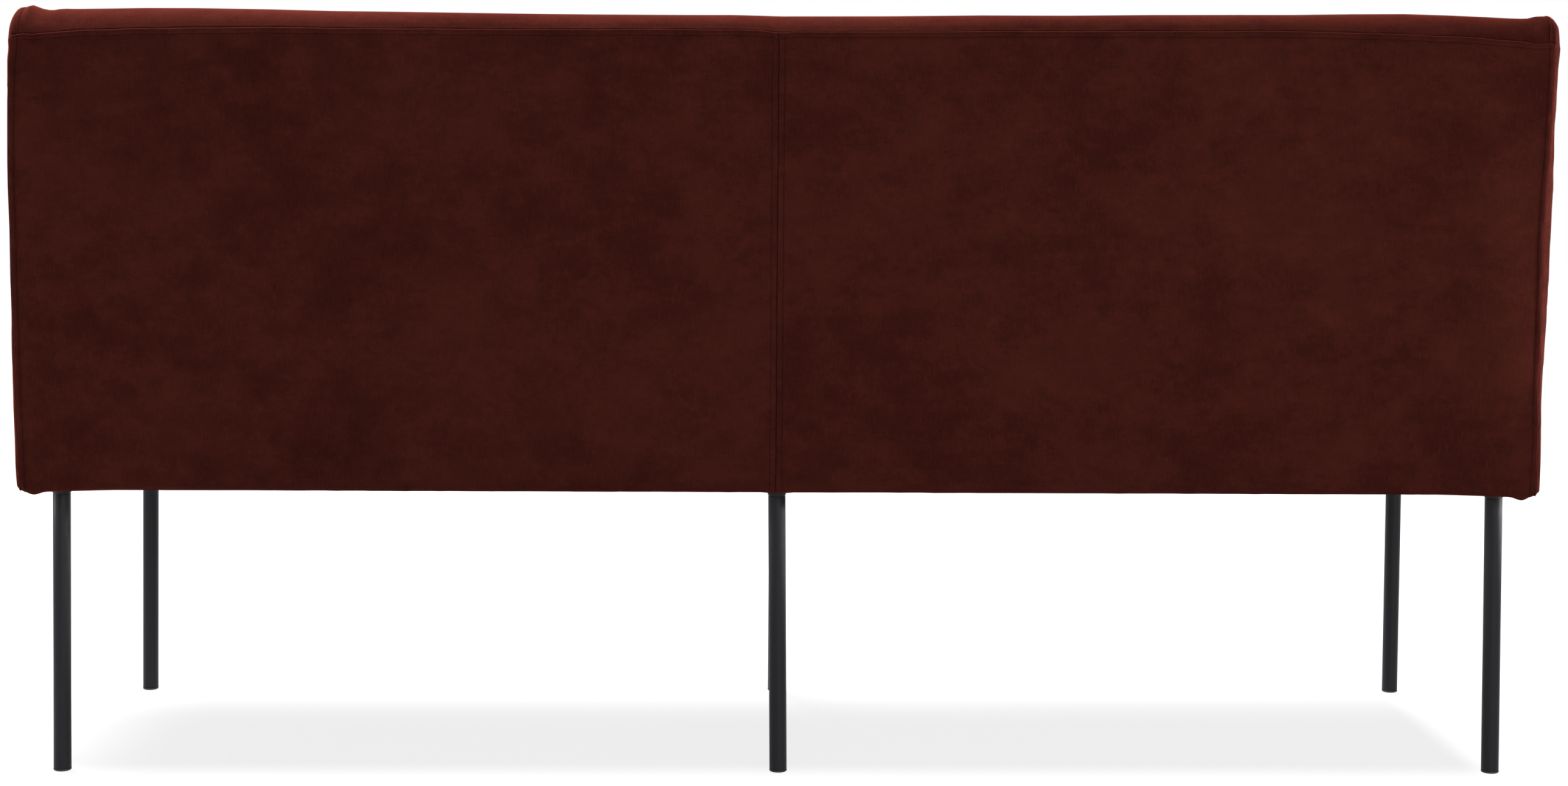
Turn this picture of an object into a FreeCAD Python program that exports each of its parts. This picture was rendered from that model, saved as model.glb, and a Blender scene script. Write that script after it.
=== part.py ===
# Upholstered banquette bench with a tall back on six round legs.
# Millimetres, +Z up, floor at Z = 0. The front faces -Y and the tall back stands at +Y.
# The origin is the centre of the bench's box, on the floor. Left is -X, as seen by someone
# who stands in front of the bench.
import FreeCAD, Part
import math
import os

# Overall sizes over the covers
bench_width = 1800.0
bench_depth = 600.0
bench_height = 900.0
underside_height = 338.0
top_seam_drop = 25.5
back_lean = 50.0

# Fits
clear = 0.3
overrun = 5.0
least_rise = 0.2

# Covers
cover_thickness = 1.5
hem_width = 26.0
seam_allowance = 12.0
tuck_end_gap = 2.6
side_seam_inset = 12.0
centre_seam_gap = 0.3

# Form of the seat and back cushions
foam_thickness = 50.0
seat_crown = 6.0
seat_back_drop = 9.0
front_crown = 4.0
back_foot_thickness = 116.0
back_top_thickness = 96.0
back_crown = 12.0
top_roll = 44.0
rear_crown = 4.0
side_draw = 6.0
draw_in_length = 90.0
ear_rise = 1.0
top_sag = 5.0
draw_step_shares = (0.0, 0.15, 0.45, 1.0)
middle_shares = (0.5, 0.0)

# Form of the side covers, from the seam out to the crown
crown_margin = 12.0
crown_inset_shares = (0.0, 0.1, 0.4, 1.0)
crown_rise_shares = (0.0, 0.26, 0.66, 1.0)

# Padding
front_pad = 8.0
rear_pad = 5.0
side_gap = 8.0
felt_thickness = 2.0
webbing_thickness = 2.0
webbing_width = 60.0

# Timber frame
plank_thickness = 18.0
plank_width = 90.0
rail_thickness = 24.0
rail_height = 73.8
cross_rail_height = 50.0
block_leg = 55.0
block_height = 45.0
upright_front_depth = 53.0
upright_top_depth = 45.0
top_rail_drop = 12.5
board_thickness = 3.0

# Webbing layout
seat_strap_pitch = 120.0
back_strap_pitch = 76.0
back_strap_margin = 40.0

# Legs
leg_inset_side = 50.0
leg_inset_front = 48.0
leg_inset_rear = 42.0
tube_diameter = 20.0
tube_wall = 1.5
weld_height = 8.0
weld_spread = 0.8
stud_diameter = 8.0
stud_fit = 0.1
stud_end_gap = 1.0
insert_diameter = 12.0
insert_length = 14.0
glide_head_height = 3.0
glide_lip = 0.2
glide_round = 1.0
glide_plug_length = 14.0
glide_plug_fit = 0.05

# Dust cover
dust_thickness = 0.8
dust_inset = 12.0
dust_leg_gap = 1.2

# Lines and levels that follow from the sizes
half_width = bench_width / 2
front_y = -bench_depth / 2
rear_y = bench_depth / 2
top_seam_height = bench_height - top_seam_drop
lean = back_lean / (top_seam_height - underside_height)
slant = math.hypot(1, lean)
seam_x = half_width - side_seam_inset
frame_x = seam_x - side_gap
plank_bottom = underside_height + cover_thickness + clear
plank_top = plank_bottom + plank_thickness
rail_top = plank_top + rail_height
felt_bottom = rail_top + 2 * webbing_thickness + clear
cushion_bottom = felt_bottom + felt_thickness + clear
cover_to_soft = cover_thickness + clear
seat_height = cushion_bottom + foam_thickness + cover_to_soft
seat_front_roll = seat_height - seat_crown - side_draw - cushion_bottom
side_crown_reach = min(seat_front_roll, top_roll) - crown_margin
crease_tuck = seat_height - seat_back_drop - side_draw - cushion_bottom - tuck_end_gap
frame_front = front_y + front_crown + cover_to_soft + front_pad + clear
rear_stack = cover_to_soft + rear_pad + clear + board_thickness
upright_thickness = rail_thickness
end_upright_x = frame_x - upright_thickness / 2
upright_spacing = end_upright_x / 2
top_rail_top = top_seam_height - top_rail_drop
upright_top = top_rail_top - rail_thickness
stud_length = insert_length - stud_end_gap
leg_x = half_width - leg_inset_side
leg_y_rear = rear_y - back_lean - leg_inset_rear
leg_y_front = front_y + leg_inset_front

AXIS_X = FreeCAD.Vector(1, 0, 0)
AXIS_Z = FreeCAD.Vector(0, 0, 1)
CENTRE = FreeCAD.Vector(0, 0, 0)
FULL_TURN = 360


def rear_line(z, depth):
    """Y of the leaning plane that lies depth behind the rear cover's face, at height z."""
    return rear_y - back_lean + lean * (z - underside_height) - depth * slant


crease_y = rear_line(seat_height, 0) - back_foot_thickness
upright_front_y = rear_line(plank_top, rear_stack) - upright_front_depth
upright_front_top_y = rear_line(upright_top, rear_stack) - upright_top_depth


def upright_line(z, depth):
    """Y of the uprights' front edge above the seat rails, moved forward by depth."""
    rise_share = (z - rail_top) / (upright_top - rail_top)
    run = upright_front_top_y - upright_front_y
    square = math.hypot(1, run / (upright_top - rail_top))
    return upright_front_y + run * rise_share - depth * square


# Paths lie in the YZ plane. A step is a point for a line, or (middle, end) for an arc.
# The solid lies on the right of the way the path runs.
def point(y, z):
    return FreeCAD.Vector(0, y, z)


def steps_of(path):
    spans = []
    here = path[0]
    for step in path[1:]:
        middle, end = step if isinstance(step, tuple) else (None, step)
        spans.append((here, middle, end))
        here = end
    return spans


def edge_of(span):
    start, middle, end = span
    if middle is None:
        return Part.LineSegment(start, end).toShape()
    return Part.Arc(start, middle, end).toShape()


def inward(tangent):
    return tangent.cross(AXIS_X)


def end_normals(span):
    edge = edge_of(span)
    first = inward(edge.tangentAt(edge.FirstParameter))
    last = inward(edge.tangentAt(edge.LastParameter))
    return first, last


def moved_corner(corner, before, after, distance):
    if before is None:
        return corner + after * distance
    if after is None:
        return corner + before * distance
    return corner + (before + after) * (distance / (1 + before.dot(after)))


def inset_path(path, distance, closed=False):
    """The same path moved inward, with mitred corners."""
    spans = steps_of(path)
    normals = [end_normals(span) for span in spans]
    before = normals[-1][1] if closed else None
    moved = [moved_corner(path[0], before, normals[0][0], distance)]
    for number, (start, middle, end) in enumerate(spans):
        last = number == len(spans) - 1
        after = (normals[0][0] if closed else None) if last else normals[number + 1][0]
        corner = moved_corner(end, normals[number][1], after, distance)
        if middle is None:
            moved.append(corner)
        else:
            edge = edge_of((start, middle, end))
            halfway = (edge.FirstParameter + edge.LastParameter) / 2
            bend = edge.valueAt(halfway) + inward(edge.tangentAt(halfway)) * distance
            moved.append((bend, corner))
    return moved


def reversed_path(path):
    spans = steps_of(path)
    back = [spans[-1][2]]
    for start, middle, end in reversed(spans):
        back.append(start if middle is None else (middle, start))
    return back


def wire_at(path, x):
    """Closed wire of the path in the plane at x. The last step comes back to the start."""
    wire = Part.Wire([edge_of(span) for span in steps_of(path)])
    wire.translate(AXIS_X * x)
    return wire


def strip_path(path, thickness):
    """Closed thin section of a sheet whose outer face follows the path."""
    inner = reversed_path(inset_path(path, thickness))
    return path + inner + [path[0]]


def loft_along_x(path_at, stations):
    """Ruled solid through closed paths at the given places along X."""
    wires = [wire_at(path_at(x), x) for x in stations]
    return outward(Part.makeLoft(wires, True, True))


def outward(solid):
    if solid.Volume < 0:
        solid.reverse()
    return solid


def extrude_x(corners, x_low, x_high):
    """Straight piece between two places along X, with a section given as (y, z) corners."""
    outline = [FreeCAD.Vector(x_low, y, z) for y, z in corners]
    face = Part.Face(Part.makePolygon(outline + outline[:1]))
    return face.extrude(AXIS_X * (x_high - x_low))


def box_between(low, high):
    size = [top - bottom for bottom, top in zip(low, high)]
    return Part.makeBox(size[0], size[1], size[2], FreeCAD.Vector(low[0], low[1], low[2]))


def mirrored(shape):
    return shape.mirror(CENTRE, AXIS_X)


# Arcs of the outline
def arc_bulged(start, end, rise):
    """Arc that stands proud of its chord, outward, by rise."""
    along = (end - start).normalize()
    middle = (start + end) * 0.5 - inward(along) * max(rise, least_rise)
    return middle, end


def arc_quarter(start, end, centre):
    """Quarter circle round a centre."""
    radius = (start - centre).Length
    middle = centre + ((start + end) * 0.5 - centre).normalize() * radius
    return middle, end


def arc_from_level(start, end):
    """Arc that leaves its start level, along +Y, and bends down to its end."""
    run = end.y - start.y
    fall = start.z - end.z
    radius = (run * run + fall * fall) / (2 * fall)
    half_turn = math.asin(run / radius) / 2
    middle = start + point(radius * math.sin(half_turn), radius * (math.cos(half_turn) - 1))
    return middle, end


# Form of the upholstery at a place along X
def draw_at(x):
    """How far the covers are drawn in: 1 at the side seams, 0 away from them."""
    from_seam = seam_x - abs(x)
    return max(0, 1 - from_seam / draw_in_length) ** 2


def apex_height(x):
    share = abs(x) / seam_x
    return bench_height - ear_rise * (1 - draw_at(x)) - top_sag * (1 - share * share)


def seat_points(x):
    draw = draw_at(x)
    face = front_y + front_crown + side_draw * draw
    edge = seat_height - seat_crown - side_draw * draw
    foot = point(face, underside_height)
    brow = point(face, edge - seat_front_roll)
    lip = point(face + seat_front_roll, edge)
    crease = point(crease_y, seat_height - seat_back_drop - side_draw * draw)
    return foot, brow, lip, crease


def seat_steps(x):
    """Steps from the seat's front bottom edge over the seat to the crease."""
    foot, brow, lip, crease = seat_points(x)
    fullness = 1 - draw_at(x)
    centre = point(lip.y, brow.z)
    crown = (seat_crown + (lip.z - crease.z) * 0.5) * fullness
    return [arc_bulged(foot, brow, front_crown * fullness), arc_quarter(brow, lip, centre),
            arc_bulged(lip, crease, crown)]


def back_points(x):
    draw = draw_at(x)
    apex_z = apex_height(x)
    roll_z = apex_z - top_roll
    roll_y = rear_line(roll_z, 0) - back_top_thickness + side_draw * draw
    return point(roll_y, roll_z), point(roll_y + top_roll, apex_z)


def back_steps(x, start, seam):
    """Steps from the crease up the inside of the back and over its top to the seam."""
    roll, apex = back_points(x)
    centre = point(apex.y, roll.z)
    fullness = 1 - draw_at(x)
    return [arc_bulged(start, roll, back_crown * fullness), arc_quarter(roll, apex, centre),
            arc_from_level(apex, seam)]


def seat_cover_path(x):
    foot, brow, lip, crease = seat_points(x)
    hem_end = point(foot.y + hem_width, foot.z)
    tail = point(crease.y, crease.z - crease_tuck)
    return [hem_end, foot] + seat_steps(x) + [tail]


def inside_back_path(x):
    crease = seat_points(x)[3] + point(clear, 0)
    tail = crease - point(0, crease_tuck)
    seam_z = top_seam_height - clear
    seam = point(rear_line(seam_z, cover_to_soft), seam_z)
    allowance_z = seam_z - seam_allowance
    allowance = point(rear_line(allowance_z, cover_to_soft), allowance_z)
    return [tail, crease] + back_steps(x, crease, seam) + [allowance]


def rear_cover_path(x):
    foot = point(rear_line(underside_height, 0), underside_height)
    head = point(rear_line(top_seam_height, 0), top_seam_height)
    hem_end = foot - point(hem_width, 0)
    rise = rear_crown * (1 - draw_at(x))
    return [head, arc_bulged(head, foot, rise), hem_end]


def side_outline():
    """Closed outline of a side of the upholstery, at its seams."""
    foot, brow, lip, crease = seat_points(seam_x)
    seam = point(rear_line(top_seam_height, 0), top_seam_height)
    heel = point(rear_line(underside_height, 0), underside_height)
    return [foot] + seat_steps(seam_x) + back_steps(seam_x, crease, seam) + [heel, foot]


def stations_from(x_low, x_high):
    """Places along X where the sections are set, closer together near the side seams."""
    near_seam = [seam_x - draw_in_length * share for share in draw_step_shares]
    middle = [seam_x * share for share in middle_shares]
    half = sorted(set(near_seam + middle))
    both = [-x for x in reversed(half) if x > 0] + half
    inside = [x for x in both if x_low < x < x_high]
    return [x_low] + inside + [x_high]


# Legs
def leg_places():
    rows = {"rear": leg_y_rear, "front": leg_y_front}
    columns = {"left": -leg_x, "centre": 0, "right": leg_x}
    return {row + "_" + column: (columns[column], rows[row]) for row in rows for column in columns}


def turned(profile):
    """Solid of revolution about Z from (radius, height) corners."""
    corners = [FreeCAD.Vector(radius, 0, height) for radius, height in profile]
    face = Part.Face(Part.makePolygon(corners + corners[:1]))
    return outward(face.revolve(CENTRE, AXIS_Z, FULL_TURN))


def leg_tube():
    """Round tube closed at the top, with its ring of weld and the stud that screws it in."""
    outer = tube_diameter / 2
    bore = outer - tube_wall
    stud = stud_diameter / 2
    closed = plank_bottom - weld_height
    return turned([(bore, glide_head_height), (outer, glide_head_height), (outer, closed),
                   (outer + weld_spread, plank_bottom), (stud, plank_bottom),
                   (stud, plank_bottom + stud_length), (0, plank_bottom + stud_length),
                   (0, closed), (bore, closed)])


def leg_glide():
    """Push-in plug with a rounded head that closes the tube's foot."""
    head = tube_diameter / 2 + glide_lip
    plug = tube_diameter / 2 - tube_wall - glide_plug_fit
    plug_top = glide_head_height + glide_plug_length
    return turned([(0, 0), (head - glide_round, 0), (head, glide_round), (head, glide_head_height),
                   (plug, glide_head_height), (plug, plug_top), (0, plug_top)])


def leg_insert():
    """Threaded sleeve that is set into a plank from below and takes the leg's stud."""
    bore = stud_diameter / 2 + stud_fit
    top = plank_bottom + insert_length
    return turned([(bore, plank_bottom), (insert_diameter / 2, plank_bottom),
                   (insert_diameter / 2, top), (bore, top)])


def at_every_leg(make):
    copies = []
    for x, y in leg_places().values():
        copy = make()
        copy.translate(FreeCAD.Vector(x, y, 0))
        copies.append(copy)
    return copies


# Timber frame
def bored_plank(low, high):
    """Flat plank with a hole for the insert of each leg that stands under it."""
    plank = box_between(low, high)
    for x, y in leg_places().values():
        if low[1] < y < high[1]:
            foot = FreeCAD.Vector(x, y, plank_bottom)
            plank = plank.cut(Part.makeCylinder(insert_diameter / 2, insert_length, foot))
    return plank


def base_planks():
    rear_edge = rear_line(plank_bottom, rear_stack)
    front_in = frame_front + plank_width
    rear_in = rear_edge - plank_width
    planks = {
        "front_base_plank": bored_plank((-frame_x, frame_front, plank_bottom),
                                          (frame_x, front_in, plank_top)),
        "rear_base_plank": bored_plank((-frame_x, rear_in, plank_bottom),
                                         (frame_x, rear_edge, plank_top)),
    }
    starts = {"left": -frame_x, "centre": -plank_width / 2, "right": frame_x - plank_width}
    for side, x in starts.items():
        planks[side + "_base_plank"] = box_between((x, front_in, plank_bottom),
                                                   (x + plank_width, rear_in, plank_top))
    return planks


def seat_rails():
    rear_face = rear_line(plank_top, rear_stack)
    rail_in = frame_front + rail_thickness
    side_in = frame_x - rail_thickness
    cross_top = plank_top + cross_rail_height
    front = box_between((-frame_x, frame_front, plank_top), (frame_x, rail_in, rail_top))
    rear = box_between((-side_in, rear_face - rail_thickness, plank_top), (side_in, rear_face, rail_top))
    right = box_between((side_in, rail_in, plank_top), (frame_x, upright_front_y, rail_top))
    rails = {"front_seat_rail": front, "rear_seat_rail": rear,
             "left_seat_rail": mirrored(right), "right_seat_rail": right}
    middles = {"left": -upright_spacing, "centre": 0, "right": upright_spacing}
    for side, x in middles.items():
        low = (x - rail_thickness / 2, rail_in, plank_top)
        rails[side + "_cross_rail"] = box_between(low, (x + rail_thickness / 2, upright_front_y, cross_top))
    return rails


def corner_blocks():
    """Glued three-cornered blocks in the four corners of the seat rails."""
    x = frame_x - rail_thickness
    front = frame_front + rail_thickness
    rear = rear_line(plank_top, rear_stack) - rail_thickness
    blocks = []
    for y, step in ((front, block_leg), (rear, -block_leg)):
        corners = [FreeCAD.Vector(x, y, plank_top), FreeCAD.Vector(x - block_leg, y, plank_top),
                   FreeCAD.Vector(x, y + step, plank_top)]
        block = outward(Part.Face(Part.makePolygon(corners + corners[:1])).extrude(AXIS_Z * block_height))
        blocks += [block, mirrored(block)]
    return blocks


def uprights():
    """End uprights stand on the rear plank, the middle ones are notched over the rear rail."""
    rear_low = rear_line(plank_top, rear_stack)
    head = [(rear_line(upright_top, rear_stack), upright_top), (upright_front_top_y, upright_top),
            (upright_front_y, rail_top), (upright_front_y, plank_top)]
    end_section = [(rear_low, plank_top)] + head
    notch_y = rear_low - rail_thickness
    rear_high = rear_line(rail_top, rear_stack)
    notched = [(notch_y, plank_top), (notch_y, rail_top), (rear_high, rail_top)] + head
    half = upright_thickness / 2
    pieces = {
        "left_end_upright": extrude_x(end_section, -frame_x, -frame_x + upright_thickness),
        "right_end_upright": extrude_x(end_section, frame_x - upright_thickness, frame_x),
    }
    for side, x in (("left", -upright_spacing), ("centre", 0), ("right", upright_spacing)):
        pieces[side + "_upright"] = extrude_x(notched, x - half, x + half)
    return pieces


def back_top_rail():
    rear = rear_line(upright_top, rear_stack)
    return box_between((-frame_x, rear - upright_top_depth, upright_top), (frame_x, rear, top_rail_top))


def leaning_sheet(z_low, z_high, depth_out, depth_in):
    return [(rear_line(z_low, depth_out), z_low), (rear_line(z_high, depth_out), z_high),
            (rear_line(z_high, depth_in), z_high), (rear_line(z_low, depth_in), z_low)]


def back_board():
    section = leaning_sheet(plank_bottom, top_rail_top, rear_stack - board_thickness, rear_stack)
    return extrude_x(section, -frame_x, frame_x)


# Webbing and felt
def bay_limits():
    """Free width of each bay between neighbouring uprights."""
    half = upright_thickness / 2
    middles = [-end_upright_x, -upright_spacing, 0, upright_spacing, end_upright_x]
    return [(left + half, right - half) for left, right in zip(middles, middles[1:])]


def strap_starts(low, high, pitch):
    """Start of each strap, evenly spaced between two limits at about the pitch."""
    count = int((high - low) / pitch)
    gap = (high - low - count * webbing_width) / (count + 1)
    return [low + gap + number * (webbing_width + gap) for number in range(count)]


def seat_webbing():
    rear = rear_line(plank_top, rear_stack)
    middle = rail_top + webbing_thickness
    straps = []
    for low, high in bay_limits():
        for x in strap_starts(low, high, seat_strap_pitch):
            straps.append(box_between((x, frame_front, rail_top), (x + webbing_width, rear, middle)))
    for y in strap_starts(frame_front + rail_thickness, upright_front_y, seat_strap_pitch):
        straps.append(box_between((-frame_x, y, middle),
                                  (frame_x, y + webbing_width, middle + webbing_thickness)))
    return straps


def back_webbing():
    straps = []
    low = cushion_bottom + back_strap_margin
    high = upright_top - back_strap_margin
    for z in strap_starts(low, high, back_strap_pitch):
        top = z + webbing_width
        section = [(upright_line(z, 0), z), (upright_line(z, webbing_thickness), z),
                   (upright_line(top, webbing_thickness), top), (upright_line(top, 0), top)]
        straps.append(extrude_x(section, -frame_x, frame_x))
    return straps


def seat_felt():
    return box_between((-frame_x, frame_front, felt_bottom),
                       (frame_x, upright_front_y - clear, felt_bottom + felt_thickness))


# Foam and padding
def seat_foam_path(x):
    foot, brow, lip, crease = seat_points(x)
    path = inset_path([foot] + seat_steps(x) + [crease - point(0, crease_tuck)], cover_to_soft)
    brow_step, top_step = path[2], path[3]
    front = path[1][1]
    floor_front = point(front.y, cushion_bottom)
    floor_rear = point(path[-1].y, cushion_bottom)
    return [floor_front, front, brow_step, top_step, floor_rear, floor_front]


def seat_foam():
    return loft_along_x(seat_foam_path, stations_from(-frame_x, frame_x))


def back_foam_path(x):
    crease = seat_points(x)[3] + point(clear, 0)
    seam_z = top_seam_height - clear
    seam = point(rear_line(seam_z, cover_to_soft), seam_z)
    path = [crease - point(0, crease_tuck), crease] + back_steps(x, crease, seam)
    inner = inset_path(path, cover_to_soft)
    rail_level = top_rail_top + clear
    behind = cover_thickness + 2 * cover_to_soft
    floor_front = point(inner[0].y, cushion_bottom)
    over_end = point(rear_line(seam_z - cover_to_soft, behind), seam_z - cover_to_soft)
    over_start = inner[4][0]
    rail_rear = point(rear_line(rail_level, behind), rail_level)
    rail_front = point(upright_front_top_y - webbing_thickness - clear, rail_level)
    neck = point(upright_line(upright_top, webbing_thickness + clear), upright_top)
    heel = point(upright_line(cushion_bottom, webbing_thickness + clear), cushion_bottom)
    return [floor_front, inner[1], inner[2], inner[3], (over_start, over_end), rail_rear, rail_front,
            neck, heel, floor_front]


def back_foams():
    """Foam in front of the uprights, and the foam that lies over it and over the top rail."""
    whole = loft_along_x(back_foam_path, stations_from(-frame_x, frame_x))
    slab_room = box_between((-half_width, front_y, 0), (half_width, rear_y, top_rail_top))
    top_room = box_between((-half_width, front_y, top_rail_top + clear), (half_width, rear_y, bench_height))
    return whole.common(slab_room), whole.common(top_room)


def front_padding_path(x):
    foot, brow, lip, crease = seat_points(x)
    outer = inset_path([foot, seat_steps(x)[0]], cover_to_soft)
    low, (bend, high) = outer
    low = point(low.y, plank_bottom)
    high = point(high.y, cushion_bottom - clear)
    inner_y = frame_front - clear
    return [low, (bend, high), point(inner_y, high.z), point(inner_y, low.z), low]


def front_padding():
    return loft_along_x(front_padding_path, stations_from(-frame_x, frame_x))


def rear_padding_path(x):
    inner_depth = rear_stack - board_thickness - clear
    low = point(rear_line(plank_bottom, cover_to_soft), plank_bottom)
    high = point(rear_line(top_rail_top - clear, cover_to_soft), top_rail_top - clear)
    rise = rear_crown * (1 - draw_at(x))
    inner_low = point(rear_line(low.z, inner_depth), low.z)
    inner_high = point(rear_line(high.z, inner_depth), high.z)
    return [high, arc_bulged(high, low, rise), inner_low, inner_high, high]


def rear_padding():
    return loft_along_x(rear_padding_path, stations_from(-frame_x, frame_x))


# Side covers and their padding
def crown_levels(sunk, extra_inset):
    """Places and insets of a side's crown, sunk below its outer face."""
    height = half_width - seam_x - clear
    levels = []
    for inset_share, rise_share in zip(crown_inset_shares, crown_rise_shares):
        x = seam_x + clear + height * rise_share - sunk
        levels.append((x, side_crown_reach * inset_share + extra_inset))
    return levels


def side_form(levels):
    outline = side_outline()
    wires = []
    for x, inset in levels:
        wires.append(wire_at(inset_path(outline, inset, closed=True), x))
    return outward(Part.makeLoft(wires, True, True))


def side_cover():
    """Crowned panel with a hem turned under the frame."""
    seam_start = seam_x + clear
    inside = [(seam_x - overrun, cover_thickness)] + crown_levels(cover_thickness, cover_thickness)
    panel = side_form(crown_levels(0, 0)).cut(side_form(inside))
    heel_y = rear_line(underside_height, 0)
    foot_y = seat_points(seam_x)[0].y
    corner = hem_width + clear
    low = (seam_x - hem_width, foot_y + corner, underside_height)
    hem = box_between(low, (seam_start + cover_thickness, heel_y - corner,
                            underside_height + cover_thickness))
    cover = panel.fuse(hem)
    return outward(cover.removeSplitter())


def side_padding():
    """Padding over the end of the frame, one piece on each side of the covers in the crease."""
    inset = 2 * cover_to_soft + clear
    levels = [(frame_x + clear, inset)] + crown_levels(cover_to_soft, inset)
    whole = side_form(levels)
    room = cover_to_soft + clear
    low = (0, front_y, plank_bottom)
    high = (half_width, rear_y, bench_height)
    seat_side = box_between(low, (half_width, crease_y - room, bench_height))
    back_side = box_between((0, crease_y + clear + room, plank_bottom), high)
    return whole.common(seat_side), whole.common(back_side)


# Covers made as sheets along X
def seat_cover():
    def section(x):
        return strip_path(seat_cover_path(x), cover_thickness)
    return loft_along_x(section, stations_from(-seam_x, seam_x))


def inside_back_cover():
    def section(x):
        return strip_path(inside_back_path(x), cover_thickness)
    return loft_along_x(section, stations_from(-seam_x, seam_x))


def rear_cover_half():
    def section(x):
        return strip_path(rear_cover_path(x), cover_thickness)
    return loft_along_x(section, stations_from(centre_seam_gap / 2, seam_x))


def dust_cover():
    """Thin sheet over the hems, cut out round the tops of the legs."""
    top = underside_height - clear
    front = front_y + front_crown + dust_inset
    rear = rear_line(underside_height, 0) - dust_inset
    side = seam_x - dust_inset
    sheet = box_between((-side, front, top - dust_thickness), (side, rear, top))
    half = tube_diameter / 2 + weld_spread + dust_leg_gap
    for x, y in leg_places().values():
        sheet = sheet.cut(box_between((x - half, y - half, top - dust_thickness),
                                      (x + half, y + half, top)))
    return sheet


def group(solids):
    return Part.makeCompound(solids)


def all_pieces():
    pieces = {}
    for place, (x, y) in leg_places().items():
        tube = leg_tube()
        tube.translate(FreeCAD.Vector(x, y, 0))
        pieces[place + "_leg_tube"] = tube
    pieces["leg_glides"] = group(at_every_leg(leg_glide))
    pieces["leg_inserts"] = group(at_every_leg(leg_insert))
    pieces.update(base_planks())
    pieces.update(seat_rails())
    pieces["corner_blocks"] = group(corner_blocks())
    pieces.update(uprights())
    pieces["back_top_rail"] = back_top_rail()
    pieces["back_board"] = back_board()
    pieces["seat_webbing"] = group(seat_webbing())
    pieces["back_webbing"] = group(back_webbing())
    pieces["seat_felt"] = seat_felt()
    pieces["seat_foam"] = seat_foam()
    pieces["back_foam"], pieces["top_foam"] = back_foams()
    pieces["front_padding"] = front_padding()
    pieces["rear_padding"] = rear_padding()
    for part, side in zip(("seat", "back"), side_padding()):
        pieces["right_" + part + "_padding"] = side
        pieces["left_" + part + "_padding"] = mirrored(side)
    pieces["seat_cover"] = seat_cover()
    pieces["inside_back_cover"] = inside_back_cover()
    rear_half = rear_cover_half()
    pieces["right_rear_cover"] = rear_half
    pieces["left_rear_cover"] = mirrored(rear_half)
    side = side_cover()
    pieces["right_side_cover"] = side
    pieces["left_side_cover"] = mirrored(side)
    pieces["dust_cover"] = dust_cover()
    return pieces


os.makedirs("parts", exist_ok=True)
for name, shape in all_pieces().items():
    shape.exportStep("parts/" + name + ".step")
    print(name, len(shape.Solids), shape.isValid(), round(shape.Volume / 1000, 1))
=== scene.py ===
import math

import bpy
import bmesh
import numpy as np
from mathutils import Matrix, Vector
from mathutils.geometry import delaunay_2d_cdt


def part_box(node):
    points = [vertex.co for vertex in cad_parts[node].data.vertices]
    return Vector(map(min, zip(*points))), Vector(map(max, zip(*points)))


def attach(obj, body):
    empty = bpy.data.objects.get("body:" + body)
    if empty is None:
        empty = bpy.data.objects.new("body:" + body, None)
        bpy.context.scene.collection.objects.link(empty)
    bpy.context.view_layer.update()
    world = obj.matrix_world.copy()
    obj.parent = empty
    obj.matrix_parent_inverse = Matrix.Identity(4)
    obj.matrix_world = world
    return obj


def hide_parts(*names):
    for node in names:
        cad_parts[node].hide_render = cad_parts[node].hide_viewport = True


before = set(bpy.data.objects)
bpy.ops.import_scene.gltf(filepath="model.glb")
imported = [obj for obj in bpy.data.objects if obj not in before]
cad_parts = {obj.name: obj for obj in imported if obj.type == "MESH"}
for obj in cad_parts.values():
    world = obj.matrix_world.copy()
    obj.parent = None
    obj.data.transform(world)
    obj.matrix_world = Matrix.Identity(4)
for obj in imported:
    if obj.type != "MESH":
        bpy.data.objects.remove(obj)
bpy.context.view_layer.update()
scene = bpy.context.scene
print("frame loaded:", len(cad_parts), "nodes")

# the bench's own measures in metres, read off the frame where it has them
seatBox, backBox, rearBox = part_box("seat_cover"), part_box("inside_back_cover"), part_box("right_rear_cover")
bench = {
    "seamX": seatBox[1].x, "under": seatBox[0].z, "rearFoot": 0.250, "rearTop": rearBox[1].y,
    "topSeam": rearBox[1].z, "creaseY": seatBox[1].y, "tuckLow": backBox[0].z, "front": -0.300,
    "seatHeight": 0.490, "height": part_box("left_side_cover")[1].z, "sideDraw": 0.006, "drawLength": 0.090,
    "panelGap": 0.0001, "dustX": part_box("dust_cover")[1].x, "middleX": 0.0062, "step": 0.0068,
}


# small helpers
def placed(name, data):
    thing = bpy.data.objects.new(name, data)
    scene.collection.objects.link(thing)
    return thing


def ease(t):
    t = np.clip(t, 0, 1)
    return t * t * (3 - 2 * t)


def unevenness(u, v, cell, seed):  # smooth seeded noise from -1 to 1
    lattice = np.random.default_rng(seed).uniform(-1, 1, (128, 128))
    a, b = np.asarray(u) / cell[0], np.asarray(v) / cell[1]
    i, j = np.floor(a).astype(int), np.floor(b).astype(int)
    s, t = ease(a - i), ease(b - j)

    def corner(m, n):
        return lattice[m % 128, n % 128]

    low = corner(i, j) * (1 - s) + corner(i + 1, j) * s
    high = corner(i, j + 1) * (1 - s) + corner(i + 1, j + 1) * s
    return low * (1 - t) + high * t


def drawAt(x):  # 1 at the side seam, 0 from drawLength inward
    return np.maximum(0, 1 - (bench["seamX"] - np.abs(x)) / bench["drawLength"]) ** 2


rearLean = (bench["rearTop"] - bench["rearFoot"]) / (bench["topSeam"] - bench["under"])


def rearLine(z, depth=0.0):  # y of a line parallel to the leaning rear face
    return bench["rearFoot"] + rearLean * (z - bench["under"]) - depth * math.hypot(1, rearLean)


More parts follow.
